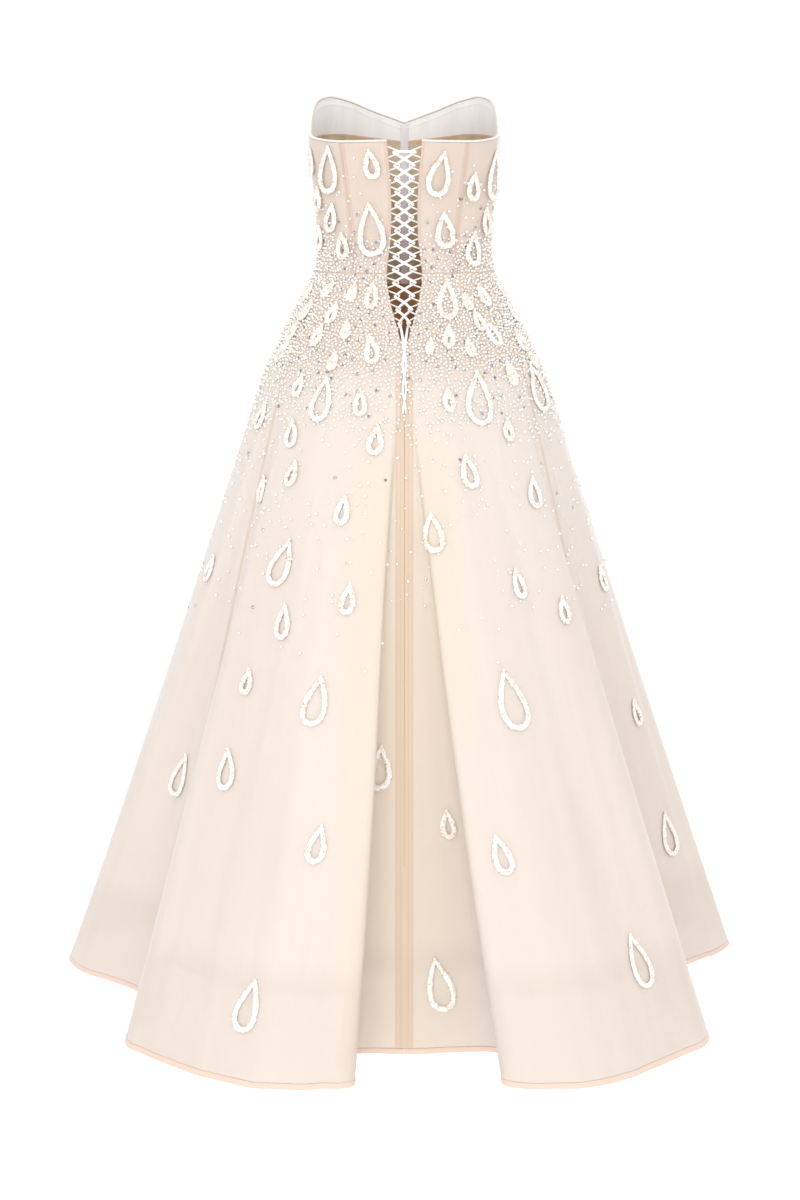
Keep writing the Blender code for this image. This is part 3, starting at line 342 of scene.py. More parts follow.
# The main creases of the skirt, by place round the hem plan. A ridge has a positive depth, a trough a
# negative one.
Crease = namedtuple("Crease", "place top bottom width depth lean")
SKIRT_CREASES = (
    Crease(0.42, -0.30, -1.09, 0.075, -0.0060, 0.02),
    Crease(0.66, -0.24, -1.02, 0.060, 0.0035, 0.05),
    Crease(1.02, -0.34, -1.09, 0.110, 0.0045, -0.06),
    Crease(1.33, -0.20, -0.88, 0.080, -0.0035, 0.04),
    Crease(1.62, -0.46, -1.09, 0.090, 0.0040, 0.03),
    Crease(1.93, -0.26, -1.05, 0.070, -0.0045, -0.04),
    Crease(2.75, -0.30, -1.09, 0.080, 0.0035, 0.04),
    Crease(3.10, -0.38, -1.00, 0.090, -0.0040, 0.02),
    Crease(3.52, -0.24, -1.09, 0.070, 0.0040, -0.03),
    Crease(4.30, -0.34, -1.09, 0.085, -0.0040, 0.03),
    Crease(4.72, -0.26, -0.94, 0.075, 0.0036, -0.02),
    Crease(5.60, -0.36, -1.09, 0.085, 0.0042, 0.03),
    Crease(6.05, -0.22, -1.00, 0.070, -0.0040, -0.04),
    Crease(6.48, -0.44, -1.09, 0.095, 0.0038, 0.02),
    Crease(6.94, -0.28, -1.09, 0.075, -0.0042, 0.04),
    Crease(7.86, -0.32, -1.04, 0.080, 0.0038, -0.03),
    Crease(8.24, -0.24, -1.09, 0.070, -0.0036, 0.03),
    Crease(9.05, -0.36, -1.09, 0.085, 0.0042, -0.02),
    Crease(9.46, -0.26, -1.02, 0.075, -0.0040, 0.04),
    Crease(9.82, -0.42, -1.09, 0.090, 0.0036, 0.02),
    Crease(10.62, -0.28, -1.06, 0.075, -0.0045, 0.03),
    Crease(10.93, -0.46, -1.09, 0.085, 0.0040, -0.03),
    Crease(11.24, -0.22, -0.92, 0.070, -0.0032, -0.05),
    Crease(11.50, -0.34, -1.09, 0.060, 0.0045, 0.05),
    Crease(11.74, -0.30, -1.09, 0.050, -0.0048, 0.03),
    Crease(11.92, -0.38, -1.09, 0.045, 0.0050, 0.02),
    Crease(12.10, -0.32, -1.09, 0.050, -0.0055, -0.02),
)

# Uneven small waves, by how many go round the hem and how high they stand at it
Wave = namedtuple("Wave", "count height phase drift")
SKIRT_WAVES = (Wave(37, 0.0010, 0.4, 1.9), Wave(61, 0.0007, 2.1, -1.4), Wave(97, 0.0004, 4.0, 2.6))
UNDER_WAVES = (Wave(74, 0.0026, 1.2, 1.1), Wave(118, 0.0016, 3.3, -1.7), Wave(173, 0.0009, 5.1, 0.8))

# The camera stands behind the gown, a little above the waist, and looks down at it
CAMERA_DISTANCE = 3.600
CAMERA_RISE = 0.133
CAMERA_SIDE = 0.0008
CAMERA_PITCH = math.radians(10.32)
CAMERA_TURN = math.radians(0.089)
CAMERA_LENS = 72.81
FLOOR_GAP = 0.700
STAGE_RADIUS = 14.0
STAGE_RISE = 9.0
STAGE_SIDES = 96

# Soft lights in front of the photographed back and behind it: where, how wide in metres, and how strong
Light = namedtuple("Light", "name place size power")
LIGHTS = (
    Light("key", (0.5, 5.9, 1.0), 3.4, 128.0),
    Light("front", (-1.6, -5.6, 1.2), 3.0, 110.0),
)
LIGHT_AIM = (0.0, 0.0, -0.45)
WORLD_STRENGTH = 1.18

Surface = namedtuple("Surface", "point step")


class Curve:
    """A smooth curve through values. Unless its slopes are given, it never overshoots between two of them."""

    def __init__(self, places, values, slopes=None):
        self.places = np.array(places, float)
        self.values = np.array(values, float)
        rises = np.diff(self.values) / np.diff(self.places)
        same = rises[:-1] * rises[1:] > 0
        total = np.where(same, rises[:-1] + rises[1:], 1.0)
        middle = np.where(same, 2 * rises[:-1] * rises[1:] / total, 0.0)
        self.slopes = np.concatenate([rises[:1], middle, rises[-1:]]) if slopes is None else slopes

    def __call__(self, where):
        where = np.clip(where, self.places[0], self.places[-1])
        index = np.clip(np.searchsorted(self.places, where, side="right") - 1, 0, len(self.places) - 2)
        span = np.diff(self.places)[index]
        share = (where - self.places[index]) / span
        rise = share**2 * (3 - 2 * share)
        leave = share * (1 - share) ** 2 * span * self.slopes[index]
        arrive = -(share**2) * (1 - share) * span * self.slopes[index + 1]
        return self.values[index] * (1 - rise) + self.values[index + 1] * rise + leave + arrive


def curve_of(table, name):
    """Make a curve of one column of a table over its first column."""
    return Curve([row[0] for row in table], [getattr(row, name) for row in table])


HALF_WIDTH = curve_of(SECTIONS, "half_width")
BACK_DEPTH = curve_of(SECTIONS, "back_depth")
FRONT_DEPTH = curve_of(SECTIONS, "front_depth")
GAP_HALF_WIDTH = curve_of(GAP, "half_width")
TOP_HEIGHT = curve_of(TOP_EDGE, "height")
FACING_HEIGHT = curve_of(FACING_EDGE, "height")


def front_angle(angle):
    """Fold an angle onto the right half, because the two sides of the gown match."""
    angle = np.mod(angle, FULL_TURN)
    return np.minimum(angle, FULL_TURN - angle)


def blend(start, end, share):
    return start + (end - start) * share


def body_ellipse(angle, height):
    """Return the points of the gown's body at angles and heights, without the lacing gap."""
    turn = np.radians(angle)
    depth = np.where(np.cos(turn) > 0, BACK_DEPTH(height), FRONT_DEPTH(height))
    cup = (front_angle(angle) - CUP_ANGLE) / CUP_SPREAD
    rise = (height - CUP_HEIGHT) / CUP_RISE
    bulge = 1 + CUP_DEPTH / depth * np.exp(-cup * cup - rise * rise)
    x = -HALF_WIDTH(height) * np.sin(turn) * bulge
    return np.stack([x, depth * np.cos(turn) * bulge, height + 0 * x], axis=-1)


def open_gap(angle, height, extra=0.0):
    """Turn angles near the centre back away from it, so that angle zero lies on the lacing gap's edge."""
    edge = np.degrees(np.arcsin((GAP_HALF_WIDTH(height) + extra) / HALF_WIDTH(height)))
    right = angle + edge * (1 - angle / GAP_FADE_ANGLE)
    left = angle - edge * (1 - (FULL_TURN - angle) / GAP_FADE_ANGLE)
    return np.where(angle < GAP_FADE_ANGLE, right, np.where(angle > FULL_TURN - GAP_FADE_ANGLE, left, angle))


def body_point(angle, height):
    return body_ellipse(open_gap(angle, height), height)


def corset_point(angle, height):
    """The corset's lining draws in towards the waist seam and goes on straight down below it."""
    point = body_ellipse(angle, np.maximum(height, WAIST_SEAM))
    drawn = 1 - CORSET_DRAW * np.clip(height / WAIST_SEAM, 0, 1) / np.hypot(point[..., 0], point[..., 1])
    return np.stack([point[..., 0] * drawn, point[..., 1] * drawn, height + 0 * drawn], axis=-1)


BODY = Surface(body_point, ANGLE_STEP)
CLOSED_BODY = Surface(body_ellipse, ANGLE_STEP)
CORSET = Surface(corset_point, ANGLE_STEP)


def unit(vectors):
    return vectors / np.maximum(np.linalg.norm(vectors, axis=-1, keepdims=True), 1e-12)


def normal_at(surface, place, height):
    along = surface.point(place + surface.step, height) - surface.point(place - surface.step, height)
    up = surface.point(place, height + HEIGHT_STEP) - surface.point(place, height - HEIGHT_STEP)
    return unit(np.cross(along, up))


def lift(surface, place, height, out):
    """Return points of a surface, moved out level until they lie a distance off the cloth."""
    normal = normal_at(surface, place, height)
    level = normal * np.array([1.0, 1.0, 0.0])
    scale = out / np.sum(level * level, axis=-1)
    return surface.point(place, height) + level * scale[..., None]


def walk(surface, place, height, distance):
    """Return the places a distance along the cloth from others at the same height."""
    for _ in range(WALK_STEPS):
        along = surface.point(place + surface.step, height) - surface.point(place - surface.step, height)
        place = place + distance / WALK_STEPS / (np.linalg.norm(along, axis=-1) / (2 * surface.step))
    return place


def plan_rows(valley_inset, nose_inset, nose_turn, centre_radius):
    """List the hem's plan as hip angle, x and y, fold by fold, moved inwards by the insets."""
    rows = [(0.0, 0.0, centre_radius)]
    for fold in FOLDS:
        face = fold.hem_to - fold.hem_from - 2 * nose_turn
        hip_face = fold.hip_to - fold.hip_from - 2 * NOSE_HIP_STEP
        hip_nose = fold.hip_from + NOSE_HIP_STEP
        hem_nose = fold.hem_from + nose_turn
        polar = (
            (fold.hip_from, hem_nose + fold.tuck_from, fold.valley_from - valley_inset),
            (hip_nose, hem_nose, fold.nose_from - nose_inset),
            (hip_nose + hip_face / 3, hem_nose + face / 3, fold.third - nose_inset),
            (hip_nose + hip_face * 2 / 3, hem_nose + face * 2 / 3, fold.two_thirds - nose_inset),
            (hip_nose + hip_face, hem_nose + face, fold.nose_to - nose_inset),
            (fold.hip_to, hem_nose + face + fold.tuck_to, fold.valley_to - valley_inset),
        )
        for hip_angle, hem_angle, radius in polar:
            turn = math.radians(hem_angle)
            rows.append((hip_angle, -radius * math.sin(turn), radius * math.cos(turn)))
    rows.append((FULL_TURN, 0.0, centre_radius))
    return np.array(rows)


class HemPlan:
    """A closed smooth hem through plan rows. A chord's share of its length grows with the chord's root."""

    def __init__(self, rows):
        chords = np.hypot(*np.diff(rows[:, 1:], axis=0).T)
        self.places = np.concatenate([[0.0], np.cumsum(np.sqrt(chords))])
        self.length = self.places[-1]
        self.hip_angle = Curve(self.places, rows[:, 0])
        self.x = Curve(self.places, rows[:, 1], self.closed_slopes(rows[:, 1]))
        self.y = Curve(self.places, rows[:, 2], self.closed_slopes(rows[:, 2]))

    def closed_slopes(self, values):
        """Give the slope at each row from its two neighbours round the closed hem."""
        steps = np.diff(self.places)
        rises = np.diff(values) / steps
        rise_before, rise_after = np.append(rises[-1], rises), np.append(rises, rises[0])
        step_before, step_after = np.append(steps[-1], steps), np.append(steps, steps[0])
        return (rise_before * step_after + rise_after * step_before) / (step_before + step_after)

    def point(self, place):
        outside = (place < 0) | (place > self.length)
        place = np.where(outside, np.mod(place, self.length), place)
        return self.x(place), self.y(place)

    def gores(self):
        """Give each gore's two seams: the centre back, and the middle of each valley between two folds."""
        seams = [0.0]
        seams += [(self.places[6 * i] + self.places[6 * i + 1]) / 2 for i in range(1, len(FOLDS))]
        return list(zip(seams, seams[1:] + [self.length]))


def skirt_surface(plan, inset_at, extra_gap_at):
    """Make the surface that leaves the body ellipse at the hip and reaches the plan's folds at the hem."""

    def point(place, height):
        angle = open_gap(plan.hip_angle(place), height, extra_gap_at(height))
        body = body_ellipse(angle, np.maximum(height, HIP))
        shrink = 1 - inset_at(np.maximum(height, HIP)) / np.hypot(body[..., 0], body[..., 1])
        share = np.clip((HIP - height) / (HIP - HEM), 0, None)
        turn = np.radians(angle)
        mean_x, mean_y = -MEAN_HEM * np.sin(turn), MEAN_HEM * np.cos(turn)
        hem_x, hem_y = plan.point(place)
        grown = share**FOLD_GROWTH
        x = blend(body[..., 0] * shrink, mean_x, share) + (hem_x - mean_x) * grown
        y = blend(body[..., 1] * shrink, mean_y, share) + (hem_y - mean_y) * grown
        return np.stack([x, y, height + 0 * x], axis=-1)

    return Surface(point, PLACE_STEP)


def nothing(height):
    return 0.0 * height


def under_gap(height):
    """The underlayers stop further from the lacing gap than the skirt does."""
    low, high = UNDER_GAP_FADE
    return UNDER_GAP_EXTRA * np.clip((height - low) / (high - low), 0, 1)


def underskirt_inset(height):
    share = np.clip((UNDERSKIRT_TOP - height) / (UNDERSKIRT_TOP - HIP), 0, 1)
    return blend(UNDERSKIRT_TOP_INSET, UNDERSKIRT_HIP_INSET, share)


def lining_point(angle, height):
    """A plain cone from the hip to the lining's hem."""
    turned = open_gap(angle, height, under_gap(height))
    body = body_ellipse(turned, np.maximum(height, HIP))
    drop = np.clip((LINING_TOP - np.maximum(height, HIP)) / (LINING_TOP - HIP), 0, 1)
    inset = blend(LINING_TOP_INSET, LINING_HIP_INSET, drop)
    shrink = 1 - inset / np.hypot(body[..., 0], body[..., 1])
    share = np.clip((HIP - height) / (HIP - LINING_HEM), 0, None)
    turn = np.radians(turned)
    x = blend(body[..., 0] * shrink, -LINING_HEM_RADIUS * np.sin(turn), share)
    y = blend(body[..., 1] * shrink, LINING_HEM_RADIUS * np.cos(turn), share)
    return np.stack([x, y, height + 0 * x], axis=-1)


PLAN = HemPlan(plan_rows(0.0, 0.0, 0.0, CENTRE_BACK_HEM))
UNDER_PLAN = HemPlan(
    plan_rows(
        UNDERSKIRT_VALLEY_INSET,
        UNDERSKIRT_NOSE_INSET,
        UNDERSKIRT_NOSE_TURN,
        CENTRE_BACK_HEM - UNDERSKIRT_VALLEY_INSET,
    )
)
SKIRT = skirt_surface(PLAN, nothing, nothing)
UNDERSKIRT = skirt_surface(UNDER_PLAN, underskirt_inset, under_gap)
LINING_CONE = Surface(lining_point, ANGLE_STEP)


def smooth_step(low, high, value):
    share = np.clip((value - low) / (high - low), 0, 1)
    return share * share * (3 - 2 * share)


def waves(place, height, plan, table):
    """Add up small uneven waves that run down the cloth and grow towards the hem."""
    share = np.clip((HIP / 2 - height) / (HIP / 2 - HEM), 0, 1)
    turn = 2 * np.pi * place / plan.length
    total = 0.0
    for wave in table:
        drift = 0.7 * np.sin(wave.drift * 2 * share + wave.phase)
        strength = 0.65 + 0.35 * np.sin(5 * turn + wave.phase * 3)
        total = total + wave.height * strength * np.sin(wave.count * turn + wave.phase + drift)
    return total * share**0.7


def skirt_relief(place, height):
    """Return how far the outer skirt's creases and waves stand off its plain surface."""
    total = waves(place, height, PLAN, SKIRT_WAVES)
    for crease in SKIRT_CREASES:
        share = (crease.top - height) / (crease.top - crease.bottom)
        middle = crease.place + crease.lean * share
        away = np.mod(place - middle + PLAN.length / 2, PLAN.length) - PLAN.length / 2
        grown = smooth_step(0, 0.55, share) * smooth_step(1.25, 0.95, share)
        total = total + crease.depth * grown * np.exp(-((away / crease.width) ** 2))
    return total


def under_relief(place, height):
    return waves(place, height, UNDER_PLAN, UNDER_WAVES)


def flat_relief(place, height):
    return 0.0 * (place + height)


def link(name, mesh, material, node=None):
    """Link a piece that rides on the gown, with its material, and hide the solid it stands for."""
    piece = bpy.data.objects.new(name, mesh)
    mesh.materials.append(material)
    bpy.context.scene.collection.objects.link(piece)
    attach(piece, "root")
    if node:
        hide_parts(node)
    return piece


def mesh_from(name, points, faces, sharp=SHARP_ANGLE):
    mesh = bpy.data.meshes.new(name)
    mesh.from_pydata(points.reshape(-1, 3).tolist(), [], faces)
    mesh.shade_smooth()
    mesh.set_sharp_from_angle(angle=sharp)
    return mesh


def sheet_faces(rows, columns):
    """List the faces of a closed sheet: its outside, its inside and the rim round both."""
    number = np.arange(rows * columns).reshape(rows, columns)
    a, b, c, d = number[:-1, :-1], number[:-1, 1:], number[1:, 1:], number[1:, :-1]
    outside = np.stack([a, b, c, d], axis=-1).reshape(-1, 4)
    back = rows * columns
    inside = outside[:, ::-1] + back
    loop = np.concatenate([number[0, :-1], number[:-1, -1], number[-1, :0:-1], number[:0:-1, 0]])
    after = np.roll(loop, -1)
    rim = np.stack([after, loop, loop + back, after + back], axis=-1)
    return np.concatenate([outside, inside, rim]).tolist()


def steps_along(points, axis):
    return np.linalg.norm(np.diff(points, axis=axis), axis=-1)


def sheet_size(points):
    """Measure a sheet's cut: its widest row, its middle column's length and its flat area."""
    widths = steps_along(points, 1).sum(axis=1)
    lengths = steps_along(points, 0).sum(axis=0)
    length = float(lengths.mean())
    area = float((widths[:-1] + widths[1:]).sum() / 2 * length / (len(widths) - 1))
    return (float(widths.max()), float(lengths.max())), area


def cloth(name, surface, places, heights, relief, thickness, material, slot, node, held, rests_on, out=0.0):
    lifted = relief(places, heights) + out
    outer = lift(surface, places, heights, lifted)
    inner = lift(surface, places, heights, lifted - thickness)
    mesh = mesh_from(name, np.stack([outer, inner]), sheet_faces(*outer.shape[:2]))

    across = np.concatenate([np.zeros((len(outer), 1)), np.cumsum(steps_along(outer, 1), axis=1)], axis=1)
    side = np.minimum(across, across[:, -1:] - across)
    foot = np.concatenate([np.zeros((1, outer.shape[1])), np.cumsum(steps_along(outer, 0), axis=0)], axis=0)
    centred = across - across[:, -1:] / 2
    layer = mesh.uv_layers.new(name="cloth")
    corners = np.array([corner.vertex_index for corner in mesh.loops])
    pairs = np.stack([np.tile(centred.ravel(), 2), np.tile(heights.ravel(), 2)], axis=-1)
    layer.data.foreach_set("uv", pairs[corners].astype(np.float32).ravel())
    for label, values in (("side", side), ("foot", foot)):
        attribute = mesh.attributes.new(label, "FLOAT", "POINT")
        attribute.data.foreach_set("value", np.tile(values.ravel(), 2).astype(np.float32))

    piece = link(name, mesh, material, node)
    flat, area = sheet_size(outer)
    CUTS.append((name, flat, area))
    return piece


CUTS = []


def band(name, surface, places, heights, profile, material, node, flat_width):
    """Wrap a narrow strip round an edge. The profile is a ring of distances out from the cloth and up."""
    rings = [lift(surface, places, heights + up, out + 0 * places) for out, up in profile]
    count, length = len(profile), len(places)
    number = np.arange(count * length).reshape(count, length)
    after = np.roll(number, -1, axis=0)
    faces = np.stack([number[:, :-1], number[:, 1:], after[:, 1:], after[:, :-1]], axis=-1).reshape(-1, 4)
    faces = faces.tolist() + [number[::-1, 0].tolist(), number[:, -1].tolist()]
    mesh = mesh_from(name, np.stack(rings), faces)
    fix_normals(mesh)
    piece = link(name, mesh, material, node)
    run = float(np.linalg.norm(np.diff(rings[0], axis=0), axis=-1).sum())
    CUTS.append((name, (flat_width, run), flat_width * run))
    return piece


def fix_normals(mesh):
    shape = bmesh.new()
    shape.from_mesh(mesh)
    bmesh.ops.recalc_face_normals(shape, faces=shape.faces)
    shape.to_mesh(mesh)
    shape.free()


def rounded(inner, outer, low, high, steps=4):
    """List a closed ring with round ends, from its depth limits and its height limits."""
    middle, radius = (inner + outer) / 2, (outer - inner) / 2
    turns = [math.pi * step / steps for step in range(steps + 1)]
    top = [(middle + radius * math.cos(turn), high - radius + radius * math.sin(turn)) for turn in turns]
    bottom = [(middle - radius * math.cos(turn), low + radius - radius * math.sin(turn)) for turn in turns]
    return top + bottom


def new_material(name, colour, roughness, **settings):
    """Make a Principled material. The settings are the shader's own sockets, by name with _ for a space."""
    material = bpy.data.materials.new(name)
    material.use_nodes = True
    shader = material.node_tree.nodes["Principled BSDF"]
    shader.inputs["Base Color"].default_value = (*colour, 1.0)
    shader.inputs["Roughness"].default_value = roughness
    for label, value in settings.items():
        shader.inputs[label.replace("_", " ")].default_value = value
    return material


class Nodes:
    """Adds nodes to a material and joins them, so that each line of a recipe says what it makes."""

    def __init__(self, material):
        self.tree = material.node_tree
        self.shader = self.tree.nodes["Principled BSDF"]

    def add(self, kind, inputs=(), **settings):
        node = self.tree.nodes.new(kind)
        for label, value in settings.items():
            setattr(node, label, value)
        for label, value in dict(inputs).items():
            if isinstance(value, bpy.types.NodeSocket):
                self.tree.links.new(value, node.inputs[label])
            else:
                node.inputs[label].default_value = value
        return node

    def math(self, operation, first, second=0.0, clamp=False):
        inputs = {0: first, 1: second}
        return self.add("ShaderNodeMath", inputs, operation=operation, use_clamp=clamp).outputs[0]

    def cloth_place(self, across, down):
        """Give the place on the cloth in metres, stretched across and down."""
        uv = self.add("ShaderNodeUVMap", uv_map="cloth").outputs["UV"]
        stretched = self.add("ShaderNodeMapping", {"Vector": uv, "Scale": (across, down, 1.0)})
        return stretched.outputs["Vector"]

    def object_place(self, scale=1.0):
        place = self.add("ShaderNodeTexCoord").outputs["Object"]
        inputs = {"Vector": place, "Scale": (scale, scale, scale)}
        return self.add("ShaderNodeMapping", inputs).outputs["Vector"]

    def noise(self, vector, scale, detail=3.0):
        inputs = {"Vector": vector, "Scale": scale, "Detail": detail}
        return self.add("ShaderNodeTexNoise", inputs).outputs["Fac"]

    def attribute(self, label):
        return self.add("ShaderNodeAttribute", attribute_name=label).outputs["Fac"]

    def span(self, value, low, high, to_low=0.0, to_high=1.0):
        inputs = {"Value": value, "From Min": low, "From Max": high, "To Min": to_low, "To Max": to_high}
        return self.add("ShaderNodeMapRange", inputs, interpolation_type="SMOOTHSTEP").outputs[0]

    def mix(self, share, first, second):
        node = self.add("ShaderNodeMix", data_type="RGBA")
        for index, value in ((0, share), (6, first), (7, second)):
            if isinstance(value, bpy.types.NodeSocket):
                self.tree.links.new(value, node.inputs[index])
            else:
                node.inputs[index].default_value = value if index == 0 else (*value, 1.0)
        return node.outputs[2]

    def bump(self, height, distance, strength=1.0, after=None):
        inputs = {"Height": height, "Distance": distance, "Strength": strength}
        if after is not None:
            inputs["Normal"] = after
        return self.add("ShaderNodeBump", inputs).outputs["Normal"]

    def set(self, label, socket):
        self.tree.links.new(socket, self.shader.inputs[label])


WAVE_PERIOD = 0.314
THREAD = 0.00045
COARSE_THREAD = 0.0008


def weave(nodes, pitch):
    """Return the height of a plain weave with the given distance between threads."""
    place = nodes.cloth_place(1.0, 1.0)
    total = None
    for direction in ("X", "Y"):
        inputs = {"Vector": place, "Scale": WAVE_PERIOD / pitch, "Distortion": 0.0}
        threads = nodes.add("ShaderNodeTexWave", inputs, bands_direction=direction).outputs["Fac"]
        total = threads if total is None else nodes.math("MAXIMUM", total, threads)
    return total


def seam_stripe_and_shade(nodes, tone):
    """Paint shade on the skirt: warm shade in the centre back inset between the folds, warm shade among the
    crowded beads and shade at the foot; and darken the stripe of the seam.
    """
    axes = nodes.add("ShaderNodeSeparateXYZ", {"Vector": nodes.object_place()})
    away = nodes.math("ABSOLUTE", axes.outputs[0])
    behind = nodes.span(axes.outputs[1], 0.02, 0.05)
    # Painted shade: low on the back, near the centre back, the inset between the two back folds is darkened
    # and warmed.
    inset = nodes.math("MULTIPLY", nodes.span(away, 0.03, 0.12, 1.0, 0.0), behind)
    lower = nodes.span(axes.outputs[2], -0.40, -0.12, 1.0, 0.0)
    inset = nodes.math("MULTIPLY", nodes.math("MULTIPLY", inset, lower), INSET_SHADE_SHARE)
    tone = nodes.mix(inset, tone, INSET_SHADE_TONE)
    # Painted shade: the top of the skirt, round the crowded beads of the hip band, is darkened and warmed as
    # if shaded among the beads.
    beaded = nodes.span(axes.outputs[2], -0.200, -0.135, 0.0, BEAD_SHADE_SHARE)
    tone = nodes.mix(beaded, tone, BEAD_SHADE_TONE)
    # Painted shade: the foot of the skirt is darkened down to the underskirt's hem and below it, as if the dim
    # inside showed through.
    foot = nodes.span(axes.outputs[2], -0.985, -0.930, FOOT_SHADE_SHARE, 0.0)
    tone = nodes.mix(foot, tone, FOOT_SHADE_TONE)
    stripe = nodes.math("MULTIPLY", nodes.span(away, 0.0115, 0.0135, 1.0, 0.0), behind)
    lines = nodes.math("ABSOLUTE", nodes.math("SINE", nodes.math("MULTIPLY", away, STRIPE_LINES)))
    stripe = nodes.math("MULTIPLY", stripe, nodes.span(lines, 0.0, 0.75, 1.0, 0.55))
    below = nodes.span(axes.outputs[2], -0.180, -0.150, STRIPE_SHARE, 0.0)
    return nodes.mix(nodes.math("MULTIPLY", stripe, below), tone, STRIPE_TONE)


# Painted shade in the centre back inset: its colour and how strongly it is laid on
INSET_SHADE_TONE = (0.800, 0.690, 0.560)
INSET_SHADE_SHARE = 0.75
# Painted shade among the beads of the hip band: its colour and how strongly it is laid on
BEAD_SHADE_TONE = (0.740, 0.590, 0.480)
BEAD_SHADE_SHARE = 0.70
# Painted shade at the foot of the skirt: its colour and how strongly it is laid on
FOOT_SHADE_TONE = (0.640, 0.545, 0.475)
FOOT_SHADE_SHARE = 0.38
STRIPE_TONE = (0.700, 0.500, 0.350)
STRIPE_SHARE = 0.80
STRIPE_LINES = 560.0


def sheer_cloth(name, colour, deep, alpha, stripe=None, stripe_width=0.0, pitch=THREAD, skirt=False):
    """Sheer woven cloth: uneven colour in streaks down the grain, a weave, cut edges behind its seams and, on
    the skirt, painted shade.
    """
    material = new_material(
        name,
        colour,
        0.50,
        Alpha=alpha,
        Sheen_Weight=0.55,
        Sheen_Roughness=0.38,
        Sheen_Tint=(1.0, 0.98, 0.96, 1.0),
        Specular_IOR_Level=0.28,
    )
    nodes = Nodes(material)
    streaks = nodes.noise(nodes.cloth_place(1.0, 0.06), 34.0, 4.0)
    clouds = nodes.noise(nodes.cloth_place(1.0, 0.40), 4.0, 3.0)
    shade = nodes.math("ADD", nodes.math("MULTIPLY", streaks, 0.30), nodes.math("MULTIPLY", clouds, 0.70))
    tone = nodes.mix(nodes.span(shade, 0.34, 0.66), deep, colour)
    if stripe:
        width = nodes.noise(nodes.cloth_place(0.0, 1.0), 18.0, 2.0)
        edge = nodes.math("ADD", nodes.attribute("side"), nodes.math("MULTIPLY", width, 0.002))
        inside = nodes.span(edge, stripe_width, stripe_width + 0.0016, 1.0, 0.0)
        threads = nodes.noise(nodes.cloth_place(1.0, 0.01), 900.0, 2.0)
        inside = nodes.math("MULTIPLY", inside, nodes.span(threads, 0.3, 0.7, 0.55, 1.0))
        tone = nodes.mix(inside, tone, stripe)
    if skirt:
        tone = seam_stripe_and_shade(nodes, tone)
    nodes.set("Base Color", tone)
    nodes.set("Roughness", nodes.span(streaks, 0.3, 0.7, 0.42, 0.60))
    crumple = nodes.noise(nodes.cloth_place(1.0, 0.22), 70.0, 4.0)
    soft = nodes.bump(crumple, 0.0014, 0.55)
    nodes.set("Normal", nodes.bump(weave(nodes, pitch), 0.00012, 0.35, soft))
    return material


def plain_cloth(name, colour, deep, pitch=COARSE_THREAD, roughness=0.72, sheen=0.25, edge=None):
    """Closed woven cloth, with a soft change of tone, a weave and, if asked for, a tinted lower edge."""
    material = new_material(name, colour, roughness, Sheen_Weight=sheen, Specular_IOR_Level=0.3)
    nodes = Nodes(material)
    tone = nodes.noise(nodes.cloth_place(1.0, 0.18), 38.0, 4.0)
    tone = nodes.mix(nodes.span(tone, 0.34, 0.66), deep, colour)
    if edge:
        tone = nodes.mix(nodes.span(nodes.attribute("foot"), 0.0018, 0.0032, 0.85, 0.0), tone, edge)
    nodes.set("Base Color", tone)
    crumple = nodes.bump(nodes.noise(nodes.cloth_place(1.0, 0.35), 48.0, 4.0), 0.0010, 0.5)
    nodes.set("Normal", nodes.bump(weave(nodes, pitch), 0.00016, 0.45, crumple))
    return material


def cord_cloth(name, colour, deep, scale, roughness=0.55):
    """Cord, braid or binding without a flat map: fine slanting threads and a soft change of tone."""
    material = new_material(name, colour, roughness, Sheen_Weight=0.3, Specular_IOR_Level=0.4)
    nodes = Nodes(material)
    place = nodes.object_place()
    tone = nodes.noise(place, 160.0, 3.0)
    nodes.set("Base Color", nodes.mix(nodes.span(tone, 0.35, 0.65), deep, colour))
    inputs = {"Vector": place, "Scale": scale, "Distortion": 1.5, "Detail": 1.0}
    threads = nodes.add("ShaderNodeTexWave", inputs, bands_direction="DIAGONAL").outputs["Fac"]
    nodes.set("Normal", nodes.bump(threads, 0.00018, 0.6))
    return material


def beaded_cord(name):
    """White seed beads sewn close together over padded cord, with a few gold ones, and painted shade towards
    the gaps between the beads.
    """
    material = new_material(name, (0.95, 0.93, 0.90), 0.34, Sheen_Weight=0.10, Specular_IOR_Level=0.50)
    nodes = Nodes(material)
    place = nodes.object_place()
    inputs = {"Vector": place, "Scale": 560.0, "Randomness": 0.75}
    cells = nodes.add("ShaderNodeTexVoronoi", inputs)
    away = cells.outputs["Distance"]
    pick = nodes.add("ShaderNodeSeparateColor", {"Color": cells.outputs["Color"]})
    patch = nodes.span(nodes.noise(place, 120.0, 1.0), 0.48, 0.56)
    gold = nodes.math("MULTIPLY", nodes.span(pick.outputs[0], 0.74, 0.78), patch)
    # Painted shade: each bead is darkened towards its edge, where the gaps between the beads lie.
    gap_shade = nodes.span(away, 0.42, 0.80, 0.0, 0.55)
    tone = nodes.mix(gold, (0.97, 0.955, 0.935), (0.84, 0.52, 0.26))
    nodes.set("Base Color", nodes.mix(gap_shade, tone, (0.70, 0.64, 0.57)))
    round_beads = nodes.span(away, 0.0, 0.7, 1.0, 0.0)
    nodes.set("Normal", nodes.bump(round_beads, 0.0007, 0.9))
    return material


